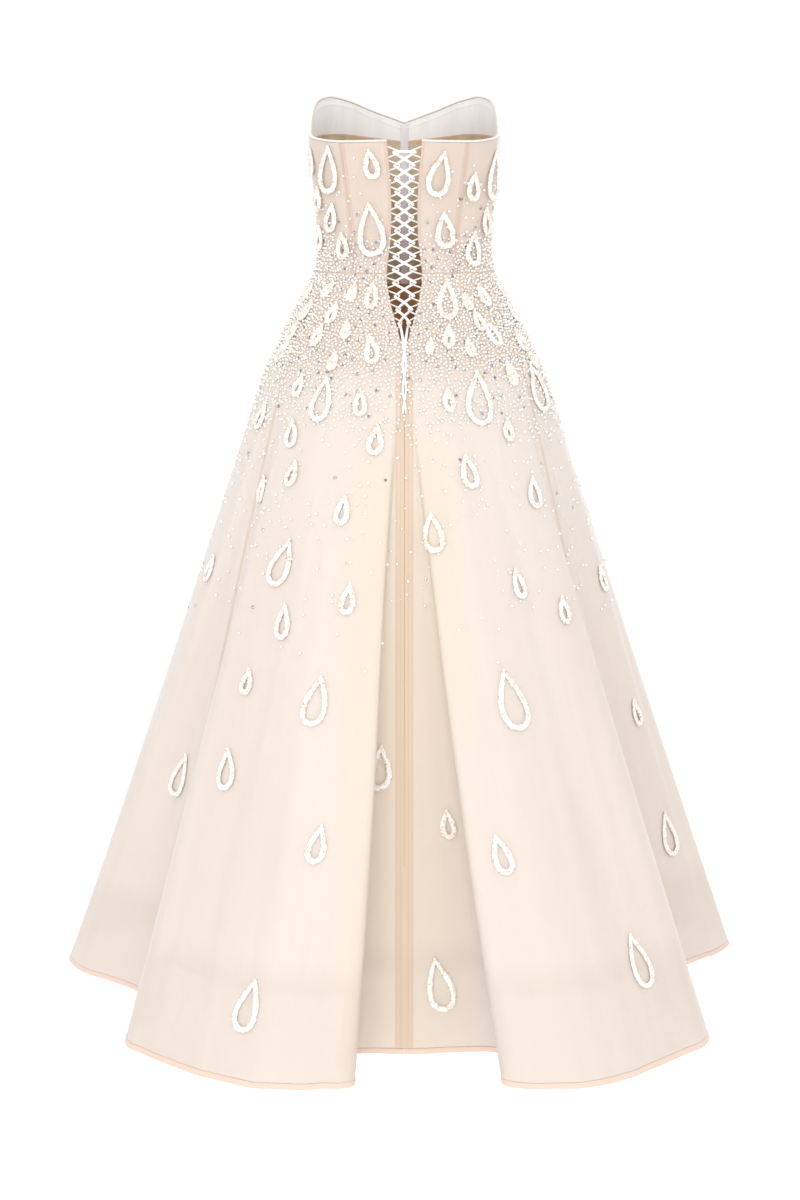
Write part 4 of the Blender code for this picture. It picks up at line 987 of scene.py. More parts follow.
def pearl_finish(name, colour, deep, roughness=0.16):
    """A pearl's lustre: the tone varies from bead to bead."""
    lustre = {"Specular_IOR_Level": 0.6, "Coat_Weight": 0.35, "Coat_Roughness": 0.12}
    material = new_material(name, colour, roughness, **lustre)
    nodes = Nodes(material)
    tone = nodes.noise(nodes.object_place(), 240.0, 1.0)
    nodes.set("Base Color", nodes.mix(nodes.span(tone, 0.36, 0.64), deep, colour))
    nodes.set("Normal", nodes.bump(nodes.noise(nodes.object_place(), 1400.0, 2.0), 0.00005, 0.5))
    return material


def metal_finish(name, colour, deep, roughness, metallic):
    material = new_material(name, colour, roughness, Metallic=metallic, Coat_Weight=0.5, Coat_Roughness=0.04)
    nodes = Nodes(material)
    tone = nodes.noise(nodes.object_place(), 320.0, 1.0)
    nodes.set("Base Color", nodes.mix(nodes.span(tone, 0.4, 0.6), deep, colour))
    return material


def panel_grid(surface, seams, side, bottom, top_at, step, trim=SEAM_GAP / 2):
    """Give the places and heights of a bodice panel, row by row from its bottom to its curved top."""
    start, end = seams
    width = math.radians(end.top_angle - start.top_angle) * SECTIONS[-1].half_width
    columns = max(4, round(width / step))
    rows = max(4, round((0.19 if top_at is TOP_HEIGHT else 0.17) / step))
    share_across = np.linspace(0, 1, columns + 1)[None, :]
    share_up = np.linspace(0, 1, rows + 1)[:, None]
    top = top_at(blend(start.top_angle, end.top_angle, share_across))
    low = bottom(blend(start.top_angle, end.top_angle, share_across)) if callable(bottom) else bottom
    heights = blend(low, top, share_up)
    raised = (heights - WAIST_SEAM) / (SEAM_TOP - WAIST_SEAM)
    first = blend(start.waist_angle, start.top_angle, raised)
    last = blend(end.waist_angle, end.top_angle, raised)
    angles = blend(first, last, share_across)
    if side < 0:
        angles, heights = FULL_TURN - angles[:, ::-1], heights[:, ::-1]
    angles[:, 0] = walk(surface, angles[:, 0], heights[:, 0], trim)
    angles[:, -1] = walk(surface, angles[:, -1], heights[:, -1], -trim)
    return angles, heights


SIDES = (("right", 1), ("left", -1))
PANELS = (
    ("bodice_centre_back", CENTRE_BACK, BACK_PRINCESS),
    ("bodice_side_back", BACK_PRINCESS, SIDE),
    ("bodice_side_front", SIDE, FRONT_PRINCESS),
    ("bodice_centre_front", FRONT_PRINCESS, CENTRE_FRONT),
)
TOP_TRIM = TOP_BINDING_HEIGHT + SEAM_GAP
BONE_RIDGES = (0.0055, 0.0155)
BONE_RIDGE_WIDTH = 0.0016
BONE_RIDGE_HEIGHT = 0.0005
SEAM_RIDGE_HEIGHT = 0.0006


def bodice_relief(angle, height):
    """Ridges over the bones beside the lacing and along the seams, and slight waves in the tulle."""
    folded = front_angle(angle)
    metres = np.radians(1.0) * HALF_WIDTH(height)
    total = 0.0003 * np.sin(angle * 0.9 + 9 * height) * np.sin(angle * 0.37 + 31 * height)
    for away in BONE_RIDGES:
        total = total + BONE_RIDGE_HEIGHT * np.exp(-(((folded * metres - away) / BONE_RIDGE_WIDTH) ** 2))
    raised = (height - WAIST_SEAM) / (SEAM_TOP - WAIST_SEAM)
    for seam in (BACK_PRINCESS, SIDE, FRONT_PRINCESS):
        away = (folded - blend(seam.waist_angle, seam.top_angle, raised)) * metres
        total = total + SEAM_RIDGE_HEIGHT * np.exp(-((away / 0.0028) ** 2))
    return total


def bodice(materials):
    def top(angle):
        return TOP_HEIGHT(front_angle(angle)) - TOP_TRIM

    for name, start, end in PANELS:
        for suffix, side in SIDES:
            grid = panel_grid(BODY, (start, end), side, WAIST_SEAM + SEAM_GAP / 2, top, BODICE_STEP)
            node = f"{name}_{suffix}"
            cloth(node + "_cloth", BODY, *grid, bodice_relief, ORGANZA, materials["bodice"], "tulle", node,
                  "stretched", [f"front_lining_{suffix}_cloth"])


def seam_line(panels, side, height_at, count=26):
    """Give the places and heights along a line round several panels, from the centre back to the front."""
    angles, shares = [], []
    for _, start, end in panels:
        share = np.linspace(0, 1, count + 1)[1 if angles else 0:]
        top = blend(start.top_angle, end.top_angle, share)
        heights = height_at(top)
        raised = (heights - WAIST_SEAM) / (SEAM_TOP - WAIST_SEAM)
        first = blend(start.waist_angle, start.top_angle, raised)
        last = blend(end.waist_angle, end.top_angle, raised)
        angles += list(blend(first, last, share))
        shares += list(heights)
    angles, heights = np.array(angles), np.array(shares)
    return (angles, heights) if side > 0 else (FULL_TURN - angles[::-1], heights[::-1])


def inside_front(materials):
    """The ivory facing with its stitched ridge, the tan lining, and the bone casing down the centre."""
    face = -(TULLE + SEAM_GAP)

    def facing_top(angle):
        return TOP_HEIGHT(front_angle(angle)) - TOP_TRIM

    def lining_top(angle):
        return FACING_HEIGHT(front_angle(angle)) - SEAM_GAP

    def facing_foot(angle):
        return FACING_HEIGHT(front_angle(angle))

    def lining_foot(angle):
        return CORSET_FOOT + 0 * angle

    def facing_relief(angle, height):
        below = facing_top(angle) - height
        return -0.0005 * np.exp(-(((below - 0.0085) / 0.0011) ** 2)) + 0.0002 * np.sin(angle * 1.3)

    for suffix, side in SIDES:
        halves = []
        for low, high in ((facing_foot, facing_top), (lining_foot, lining_top)):
            grids = [
                panel_grid(CORSET, (start, end), side, low, high, BODICE_STEP, 0.0)
                for _, start, end in PANELS[2:]
            ]
            grids = grids[::side]
            halves.append([np.concatenate([near[:, :-1], far], axis=1) for near, far in zip(*grids)])
        for (places, heights), name, slot, relief in (
            (halves[0], "neck_facing", "facing", facing_relief),
            (halves[1], "front_lining", "front_lining", flat_relief),
        ):
            node = f"{name}_{suffix}"
            cloth(node + "_cloth", CORSET, places, heights, relief, ORGANZA, materials[slot], slot, node,
                  "stretched", [f"bodice_side_front_{suffix}_cloth"], face - 0.0002)

    half = math.degrees(CASING_WIDTH / 2 / SECTIONS[-2].front_depth)
    middle = CENTRE_FRONT.waist_angle
    heights = np.linspace(CORSET_FOOT, float(facing_top(middle)), 70)
    angles, heights = np.meshgrid(np.linspace(middle - half, middle + half, 9), heights)

    def casing_relief(angle, height):
        return -0.0010 * np.clip(1 - ((angle - middle) / half) ** 4, 0, 1)

    cloth("bone_casing_tape", CORSET, angles, heights, casing_relief, 0.0010, materials["casing"], "casing",
          "bone_casing", "stretched", ["front_lining_left_cloth"], face - ORGANZA - SEAM_GAP)


def top_binding(materials):
    inner = -(TULLE + SEAM_GAP + LINING + SEAM_GAP)
    for suffix, side in SIDES:
        angles, heights = seam_line(PANELS, side, lambda angle: TOP_HEIGHT(front_angle(angle)))
        profile = rounded(inner, BINDING_PROUD + 0.0006, -TOP_BINDING_HEIGHT, 0.0)
        node = "top_binding_" + suffix
        band(node + "_edge", BODY, angles, heights, profile, materials["edge_binding"], node,
             TOP_BINDING_FLAT)


def skirt_grid(surface, start, end, bottom, top, place_step, row_step):
    columns = round((end - start) / place_step)
    rows = round((top - bottom) / row_step)
    places, heights = np.meshgrid(np.linspace(start, end, columns + 1), np.linspace(bottom, top, rows + 1))
    places[:, 0] = walk(surface, places[:, 0], heights[:, 0], SEAM_GAP / 2)
    places[:, -1] = walk(surface, places[:, -1], heights[:, -1], -SEAM_GAP / 2)
    return places, heights


def skirt(materials):
    bottom = HEM + BINDING_HEIGHT + SEAM_GAP
    top = WAIST_SEAM - SEAM_GAP / 2
    for fold, (start, end) in zip(FOLDS, PLAN.gores()):
        node = "skirt_" + fold.name
        grid = skirt_grid(SKIRT, start, end, bottom, top, SKIRT_PLACE_STEP, SKIRT_ROW_STEP)
        cloth(node + "_organza", SKIRT, *grid, skirt_relief, ORGANZA, materials["organza"], "tulle", node,
              "hung", ["bodice_centre_back_left_cloth"])


def halves(plan_length):
    return (("right", 0.0, plan_length / 2), ("left", plan_length / 2, plan_length))


def underlayers(materials):
    for suffix, start, end in halves(UNDER_PLAN.length):
        node = "underskirt_" + suffix
        ends = UNDERSKIRT_HEM, UNDERSKIRT_TOP
        grid = skirt_grid(UNDERSKIRT, start, end, *ends, UNDER_PLACE_STEP, UNDER_ROW_STEP)
        cloth(node + "_tulle", UNDERSKIRT, *grid, under_relief, ORGANZA, materials["underskirt"], "underskirt",
              node, "gathered", ["skirt_lining_" + suffix + "_cloth"])
    for suffix, start, end in halves(FULL_TURN):
        node = "skirt_lining_" + suffix
        ends = LINING_HEM, LINING_TOP
        grid = skirt_grid(LINING_CONE, start, end, *ends, LINING_ANGLE_STEP, LINING_ROW_STEP)
        cloth(node + "_cloth", LINING_CONE, *grid, flat_relief, ORGANZA, materials["skirt_lining"],
              "skirt_lining", node, "hung", ["bodice_centre_back_left_cloth"])


def creased_point(place, height):
    return lift(SKIRT, place, height, skirt_relief(place, height))


def hem_binding(materials):
    for suffix, start, end in halves(PLAN.length):
        places = np.linspace(start, end, 420)
        places[0] = walk(SKIRT, places[0], HEM, SEAM_GAP / 2)
        places[-1] = walk(SKIRT, places[-1], HEM, -SEAM_GAP / 2)
        profile = rounded(BINDING_PROUD - BINDING_THICKNESS, BINDING_PROUD, 0.0, BINDING_HEIGHT)
        node = "hem_binding_" + suffix
        creased = Surface(creased_point, PLACE_STEP)
        band(node + "_edge", creased, places, np.full_like(places, HEM), profile, materials["hem_binding"],
             node, HEM_BINDING_FLAT)


def seam_allowances(materials):
    for (suffix, side), seam in zip(SIDES, (0.0, PLAN.length)):
        heights = np.linspace(HEM + BINDING_HEIGHT + SEAM_GAP, ALLOWANCE_TOP, 90)
        grown = np.clip((ALLOWANCE_TOP - heights) / ALLOWANCE_GROWTH, 0, 1)
        width = blend(ALLOWANCE_TOP_WIDTH, ALLOWANCE_WIDTH, grown)
        columns = [
            walk(SKIRT, seam + 0 * heights, heights, side * (SEAM_GAP / 2 + width * share))
            for share in np.linspace(0, 1, ALLOWANCE_COLUMNS)
        ]
        places = np.stack(columns[::side], axis=1)
        node = "seam_allowance_" + suffix
        heights = np.repeat(heights[:, None], ALLOWANCE_COLUMNS, axis=1)
        cloth(node + "_cloth", SKIRT, places, heights, skirt_relief, ORGANZA, materials["seam_allowance"],
              "seam_allowance", node, "stretched", ["skirt_back_" + suffix + "_organza"],
              -(ORGANZA + 0.0008))


def catmull(points, steps):
    """Draw a smooth line through the points."""
    points = np.array(points)
    ends = np.concatenate([[2 * points[0] - points[1]], points, [2 * points[-1] - points[-2]]])
    a, b, c, d = ends[:-3], ends[1:-2], ends[2:-1], ends[3:]
    shares = np.arange(steps)[:, None, None] / steps
    run = 2 * b + (c - a) * shares
    run = run + (2 * a - 5 * b + 4 * c - d) * shares**2 + (3 * b - 3 * c + d - a) * shares**3
    line = (run / 2).transpose(1, 0, 2).reshape(-1, 3)
    return np.concatenate([line, points[-1:]])


def tube(line, normals, half_width, half_depth, sides=10, closed=False):
    """Sweep an oval along a line. Returns its points and faces."""
    round_line = np.roll(line, -1, axis=0) - np.roll(line, 1, axis=0)
    tangent = unit(round_line if closed else np.gradient(line, axis=0))
    side = unit(np.cross(tangent, normals))
    out = unit(np.cross(side, tangent))
    turns = np.linspace(0, 2 * np.pi, sides, endpoint=False)[None, :, None]
    wide, deep = (np.broadcast_to(value, len(line))[:, None, None] for value in (half_width, half_depth))
    points = line[:, None] + side[:, None] * np.cos(turns) * wide + out[:, None] * np.sin(turns) * deep
    number = np.arange(points.shape[0] * sides).reshape(-1, sides)
    near, far = (number, np.roll(number, -1, axis=0)) if closed else (number[:-1], number[1:])
    corners = [near, far, np.roll(far, -1, axis=1), np.roll(near, -1, axis=1)]
    faces = np.stack(corners, axis=-1).reshape(-1, 4).tolist()
    if not closed:
        faces += [number[0].tolist(), number[-1, ::-1].tolist()]
    return points.reshape(-1, 3), faces


def back_point(x, height, out):
    """Return the point over the lacing gap at a distance across from the centre back, moved out."""
    angle = -np.degrees(np.arcsin(x / HALF_WIDTH(height)))
    return lift(CLOSED_BODY, angle, np.float64(height), np.float64(out))


def lace_height(level):
    return blend(FIRST_LOOP, LAST_LOOP, level / (LACE_LEVELS - 1))


def loop_root(height):
    return GAP_HALF_WIDTH(height) + LOOP_TUCK


def loop_tip(height):
    return GAP_HALF_WIDTH(height) * LOOP_TIP_SHARE


def loop_line(side):
    points = []
    for level in range(LACE_LEVELS):
        tip = lace_height(level)
        root = tip + LOOP_SPACING / 2
        points.append(back_point(side * loop_root(root), root, -LOOP_DEPTH))
        points.append(back_point(side * loop_tip(tip), tip, -LOOP_DEPTH))
    root = LAST_LOOP - LOOP_SPACING / 2
    points.append(back_point(side * loop_root(root), root, -LOOP_DEPTH))
    return points


def hook_height(height, across):
    """Return the height halfway between a loop's two legs, at a distance out from the centre back."""
    tip = loop_tip(height)
    above = (across - tip) / (loop_root(height + LOOP_SPACING / 2) - tip)
    below = (across - tip) / (loop_root(height - LOOP_SPACING / 2) - tip)
    return height + (above - below) * LOOP_SPACING / 4


def lace_hook(height):
    """Return how far out the lace turns inside a loop, where it still clears the loop's lower cord."""
    tip = loop_tip(height)
    rise = LOOP_SPACING / 2
    slant = math.hypot(loop_root(height - rise) - tip, rise)
    return tip + LACE_HOOK_GAP * slant / rise


def lace_strand(first_side):
    """List one strand's points from the lowest loop to the top one, over and under the loops in turn."""
    points = []
    for level in range(LACE_LEVELS - 1, -1, -1):
        height = lace_height(level)
        side = first_side if level % 2 == 0 else -first_side
        over = side
        hook = lace_hook(height)
        if not points:
            leave = over * LACE_CLEARANCE - LOOP_DEPTH
            points.append(back_point(side * LACE_LEAVE_SIDE, height - LACE_LEAVE_DROP, leave))
        middle = hook_height(height, hook)
        near = side * (hook - LACE_NEAR)
        points.append(back_point(near, middle - LACE_STEP, over * LACE_CLEARANCE - LOOP_DEPTH))
        points.append(back_point(side * hook, middle, -LOOP_DEPTH))
        points.append(back_point(near, middle + LACE_STEP, -over * LACE_CLEARANCE - LOOP_DEPTH))
        if level > 0:
            crossing = height + LOOP_SPACING / 2
            points.append(back_point(0.0, crossing, -over * LACE_CROSSING - LOOP_DEPTH))
    return points


def lace_tail(twist_start):
    """List a free end's points down its twist to the tip."""
    points = []
    for step in range(TWIST_STEPS + 1):
        height = blend(TWIST_TOP, LACE_END, step / TWIST_STEPS)
        turn = twist_start + 2 * math.pi * TWIST_TURNS * step / TWIST_STEPS
        surface = SKIRT.point(0.0, height) if height < HIP else body_ellipse(0.0, height)
        out = TWIST_SEAT + TWIST_RADIUS * math.sin(turn)
        points.append(np.array([TWIST_RADIUS * math.cos(turn), surface[1] + out, height]))
    return points


LACE_SMOOTH = 4
LACE_HALF_WIDTH = 0.0019
LACE_HALF_DEPTH = 0.0011


def lacing(materials):
    """The zigzag loops down each edge and the one white lace, with its free ends twisted together."""
    outward = np.array([0.0, 1.0, 0.0])
    for suffix, side in (("right", -1), ("left", 1)):
        line = catmull(loop_line(side), 6)
        points, faces = tube(line, np.broadcast_to(outward, line.shape), 0.0011, 0.00085, 8)
        node = "lacing_loops_" + suffix
        link(node + "_cord", mesh_from(node, points, faces), materials["loops"], node)

    rising, falling = lace_strand(-1), lace_strand(1)[::-1]
    first = 0.0 if rising[0][0] > 0 else math.pi
    line = catmull(lace_tail(first)[::-1] + rising + falling + lace_tail(math.pi - first), LACE_SMOOTH)
    ends = np.minimum(np.arange(len(line)), np.arange(len(line))[::-1]) / (LACE_SMOOTH * TWIST_STEPS)
    taper = blend(0.62, 1.0, np.clip(ends, 0, 1))
    normals = np.broadcast_to(outward, line.shape)
    points, faces = tube(line, normals, LACE_HALF_WIDTH * taper, LACE_HALF_DEPTH * taper)
    lace = link("lace_cord", mesh_from("lace_cord", points, faces), materials["lace"], "lace")
    length = float(np.linalg.norm(np.diff(line, axis=0), axis=1).sum())
    CUTS.append(("lace_cord", (LACE_HALF_WIDTH * 2, length), 0.0))


def find_place(surface, low, high, drop, facing):
    """Find the place where a drop sits: on its line across the gown, on the layer nearest to the viewer."""
    places = np.linspace(low, high, 2400)
    points = surface.point(places, np.full_like(places, drop.height))
    x, y = points[:, 0] + drop.across * facing, points[:, 1] * facing
    crossing = np.where((x[:-1] * x[1:] <= 0) & (y[:-1] > 0))[0]
    if len(crossing) == 0:
        return None
    best = crossing[np.argmax(y[crossing])]
    return blend(places[best], places[best + 1], x[best] / (x[best] - x[best + 1]))


def drop_line(drop, count):
    """Return a drop's centre line on the flat: how far across and how far up, from its tip and round."""
    half_width = drop.length * DROP_WIDTH / 2 - DROP_TUBE / 2
    half_length = drop.length / 2 - DROP_TUBE / 2 * DROP_TAPER
    turn = 2 * np.pi * np.arange(count) / count
    across = half_width * np.sin(turn) * np.sin(turn / 2) ** DROP_TAPER * DROP_TAPER
    up = half_length * np.cos(turn) - DROP_INNER_FALL
    lean = math.radians(drop.lean)
    return across * math.cos(lean) + up * math.sin(lean), up * math.cos(lean) - across * math.sin(lean)


DROP_COUNT = 80
DROP_SIDES = 8
DROP_HALF_WIDTH = 0.0040
DROP_HALF_DEPTH = 0.0024
DROP_ROUGHNESS = 0.13
DROP_SEEDS = 38
DROP_HANG = {"bodice": 0.0045, "skirt": 0.0012, "hip": 0.0030}


def drops(materials, rng):
    """Padded drops of beaded cord, sewn on by the tip, with seed beads along them and a pearl at the tip."""
    meshes = {"bodice": [], "skirt": [], "hip": []}
    seeds, pearls = [], []
    groups = (
        ("bodice", BODY, (0.0, FULL_TURN), bodice_relief, BACK_BODICE_DROPS, 1),
        ("bodice", BODY, (0.0, FULL_TURN), bodice_relief, FRONT_BODICE_DROPS, -1),
        ("skirt", SKIRT, (0.0, PLAN.length), skirt_relief, BACK_SKIRT_DROPS, 1),
        ("skirt", SKIRT, (0.0, PLAN.length), skirt_relief, FRONT_SKIRT_DROPS, -1),
        ("hip", SKIRT, (0.0, PLAN.length), skirt_relief, HIP_DROPS, 1),
    )
    for group, surface, limits, relief, table, facing in groups:
        for drop in table:
            place = find_place(surface, *limits, drop, facing)
            if place is None:
                continue
            across, up = drop_line(drop, DROP_COUNT)
            heights = drop.height + up
            places = walk(surface, place + 0 * heights, heights, across)
            base = relief(places, heights)
            turn = np.abs(np.sin(np.pi * np.arange(DROP_COUNT) / DROP_COUNT))
            size = blend(0.55, 1.0, np.clip(turn * 1.6, 0, 1)) * (1 + 0.05 * rng.normal(size=DROP_COUNT))
            hang = DROP_HANG[group] * (np.max(heights) - heights) / drop.length
            line = lift(surface, places, heights, base + DROP_HALF_DEPTH * 0.9 + hang)
            normals = normal_at(surface, places, heights)
            half_sizes = DROP_HALF_WIDTH * size, DROP_HALF_DEPTH * size
            points, faces = tube(line, normals, *half_sizes, DROP_SIDES, True)
            rough = 1 + DROP_ROUGHNESS * rng.uniform(-1, 1, size=(DROP_COUNT, DROP_SIDES, 1))
            points = line[:, None] + (points.reshape(DROP_COUNT, DROP_SIDES, 3) - line[:, None]) * rough
            meshes[group].append((points.reshape(-1, 3), faces))
            pick = rng.choice(DROP_COUNT, size=DROP_SEEDS, replace=False)
            tangent = unit(np.roll(line, -1, axis=0) - np.roll(line, 1, axis=0))
            side = unit(np.cross(tangent, normals))
            lean = rng.uniform(-1.1, 1.1, size=len(pick))[:, None]
            reach = size[pick][:, None]
            spot = line[pick] + side[pick] * np.sin(lean) * DROP_HALF_WIDTH * reach
            seeds.append(spot + normals[pick] * np.cos(lean) * DROP_HALF_DEPTH * reach)
            pearls.append(line[:1] + normals[:1] * 0.0012 + np.array([[0.0, 0.0, 0.0014]]))
    for group, parts in meshes.items():
        points, faces = join(parts)
        mesh = mesh_from(f"drops_{group}", points, faces)
        piece = link(f"drops_{group}", mesh, materials["drop"])
        fix_normals(piece.data)
    return np.concatenate(seeds), np.concatenate(pearls)


def join(parts):
    """Join several meshes' points and faces into one."""
    points, faces, first = [], [], 0
    for part_points, part_faces in parts:
        points.append(part_points)
        faces += [[corner + first for corner in face] for face in part_faces]
        first += len(part_points)
    return np.concatenate(points), faces


def ball(segments, rings):
    """Return the points and faces of a small round bead of radius one."""
    shape = bmesh.new()
    bmesh.ops.create_uvsphere(shape, u_segments=segments, v_segments=rings, radius=1.0)
    return take(shape)


def cut_stone():
    """Return a flat-backed stone of radius one with a table and two rows of facets."""
    rings = ((1.0, 0.0), (0.95, 0.35), (0.52, 0.75))
    sides = 8
    shape = bmesh.new()
    circles = []
    for index, (radius, height) in enumerate(rings):
        shift = index % 2 * math.pi / sides
        turns = [2 * math.pi * side / sides + shift for side in range(sides)]
        circles.append([shape.verts.new((radius * math.cos(t), radius * math.sin(t), height)) for t in turns])
    for low, high in zip(circles, circles[1:]):
        for side in range(sides):
            after = (side + 1) % sides
            shape.faces.new((low[side], low[after], high[side]))
            shape.faces.new((low[after], high[after], high[side]))
    shape.faces.new(circles[0][::-1])
    shape.faces.new(circles[-1])
    bmesh.ops.recalc_face_normals(shape, faces=shape.faces)
    return take(shape)


def take(shape):
    shape.verts.index_update()
    points = np.array([vertex.co[:] for vertex in shape.verts])
    faces = [[vertex.index for vertex in face.verts] for face in shape.faces]
    shape.free()
    return points, faces


def beads(name, shape, centres, normals, radii, material, smooth=True):
    """Join copies of one bead, each turned to its normal, into one mesh."""
    base, faces = shape
    helper = np.where(np.abs(normals[:, 2:]) > 0.9, [[1.0, 0.0, 0.0]], [[0.0, 0.0, 1.0]])
    side = unit(np.cross(helper, normals))
    up = np.cross(normals, side)
    turned = base[None, :, :1] * side[:, None] + base[None, :, 1:2] * up[:, None]
    turned = turned + base[None, :, 2:] * normals[:, None]
    points = centres[:, None] + turned * np.asarray(radii)[:, None, None]
    by_size = {}
    for face in faces:
        by_size.setdefault(len(face), []).append(face)
    starts = (np.arange(len(centres)) * len(base))[:, None, None]
    all_faces = []
    for group in by_size.values():
        all_faces += (np.array(group)[None] + starts).reshape(-1, len(group[0])).tolist()
    mesh = mesh_from(name, points, all_faces, SHARP_ANGLE if smooth else math.radians(5))
    return link(name, mesh, material)


Scatter = namedtuple("Scatter", "surface relief low high bottom top")
WHOLE_SKIRT = Scatter(SKIRT, skirt_relief, 0.0, PLAN.length, -1.06, WAIST_SEAM - 0.002)
WHOLE_BODICE = Scatter(BODY, bodice_relief, 0.0, FULL_TURN, WAIST_SEAM + 0.002, 0.200)


RANDOM_SEED = 20240607

# How many places are drawn for each one kept, and the cells round one in which a close neighbour could lie
TRIES = 5
NEIGHBOURS = [(i, j, k) for i in (-1, 0, 1) for j in (-1, 0, 1) for k in (-1, 0, 1)]


def scatter(rng, region, count, spacing, density):
    """Pick random places, as densely as a function of place and height says, and none too close together."""
    places = np.linspace(region.low, region.high, 700)
    heights = np.linspace(region.bottom, region.top, 260)
    grid_places, grid_heights = np.meshgrid(places, heights)
    points = region.surface.point(grid_places, grid_heights)
    area = steps_along(points, 1)[:-1] * steps_along(points, 0)[:, :-1]
    weight = area * density(grid_places, grid_heights)[:-1, :-1]
    share = np.cumsum(weight.ravel()) / weight.sum()
    tries = np.searchsorted(share, rng.random(count * TRIES))
    row, column = np.unravel_index(np.minimum(tries, weight.size - 1), weight.shape)
    place = places[column] + rng.random(len(column)) * (places[1] - places[0])
    height = heights[row] + rng.random(len(row)) * (heights[1] - heights[0])
    spots = region.surface.point(place, height)
    taken, kept = {}, []
    for index, cell in enumerate(np.floor(spots / spacing).astype(int).tolist()):
        near = [taken.get((cell[0] + i, cell[1] + j, cell[2] + k)) for i, j, k in NEIGHBOURS]
        if any(n is not None and np.sum((spots[n] - spots[index]) ** 2) < spacing**2 for n in near):
            continue
        taken[tuple(cell)] = index
        kept.append(index)
        if len(kept) == count:
            break
    return place[kept], height[kept]


def sew(region, place, height, radius, sink=0.3):
    """Return the centres and normals of beads of these radii sewn on the cloth."""
    out = region.relief(place, height) + radius * (1 - sink)
    return lift(region.surface, place, height, out), normal_at(region.surface, place, height)


def hip_density(place, height):
    """Beads crowd the hip, thin out down the skirt and end well above the knee."""
    crowd = smooth_step(-0.180, -0.140, height)
    tail = 0.12 * smooth_step(-0.29, -0.165, height)
    stray = 0.006 * smooth_step(-0.62, -0.29, height)
    return np.maximum(crowd, np.maximum(tail, stray))


def bodice_density(angle, height):
    """Beads crowd the waist and thin out upwards, more so beside the lacing."""
    side = 0.40 + 0.60 * smooth_step(14.0, 45.0, front_angle(angle))
    return side * (smooth_step(0.034, -0.006, height) + 0.03 * smooth_step(0.16, 0.03, height))


def beading(materials, rng, drop_seeds, drop_pearls):
    """Sew on the pearls, the seed beads, the stones and the gold sequins."""
    seed_ball, small_pearl, pearl_ball, stone = ball(5, 3), ball(6, 3), ball(8, 6), cut_stone()
    groups = (
        # name, shape, material, slot, skirt count, bodice count, spacing, smallest and largest radius, smooth
        ("pearls", small_pearl, "pearl", "pearl", 7400, 1100, 0.0041, 0.0017, 0.0024, True),
        ("seed_beads", seed_ball, "seed", "pearl", 3000, 500, 0.0032, 0.0009, 0.0013, True),
        ("crystals", stone, "crystal", "crystal", 520, 150, 0.0120, 0.0021, 0.0030, False),
        ("gold_beads", stone, "gold", "gold_sequin", 150, 40, 0.0180, 0.0014, 0.0020, False),
    )
    for name, shape, material, slot, skirt_count, bodice_count, spacing, small, large, smooth in groups:
        centres, normals, radii = [], [], []
        regions = ((WHOLE_SKIRT, skirt_count, hip_density), (WHOLE_BODICE, bodice_count, bodice_density))
        for region, count, density in regions:
            place, height = scatter(rng, region, count, spacing, density)
            radius = rng.uniform(small, large, size=len(place))
            centre, normal = sew(region, place, height, radius, 0.35 if smooth else 1.0)
            centres.append(centre)
            normals.append(normal)
            radii.append(radius)
        centres, normals, radii = (np.concatenate(values) for values in (centres, normals, radii))
        for half, chosen in (("back", centres[:, 1] > 0), ("front", centres[:, 1] <= 0)):
            beads(f"{name}_{half}", shape, centres[chosen], normals[chosen], radii[chosen],
                  materials[material], smooth)

    up = np.array([[0.0, 0.0, 1.0]])
    gold = rng.random(len(drop_seeds)) < 0.24
    for name, chosen, material, slot in (
        ("drop_seed_beads", drop_seeds[~gold], "seed", "pearl"),
        ("drop_gold_beads", drop_seeds[gold], "gold", "gold_sequin"),
    ):
        radii = rng.uniform(0.0008, 0.0012, size=len(chosen))
        beads(name, seed_ball, chosen, np.repeat(up, len(chosen), axis=0), radii, materials[material])
    radii = np.full(len(drop_pearls), 0.0021)
    beads("drop_tip_pearls", pearl_ball, drop_pearls, np.repeat(up, len(drop_pearls), axis=0), radii,
          materials["pearl"])


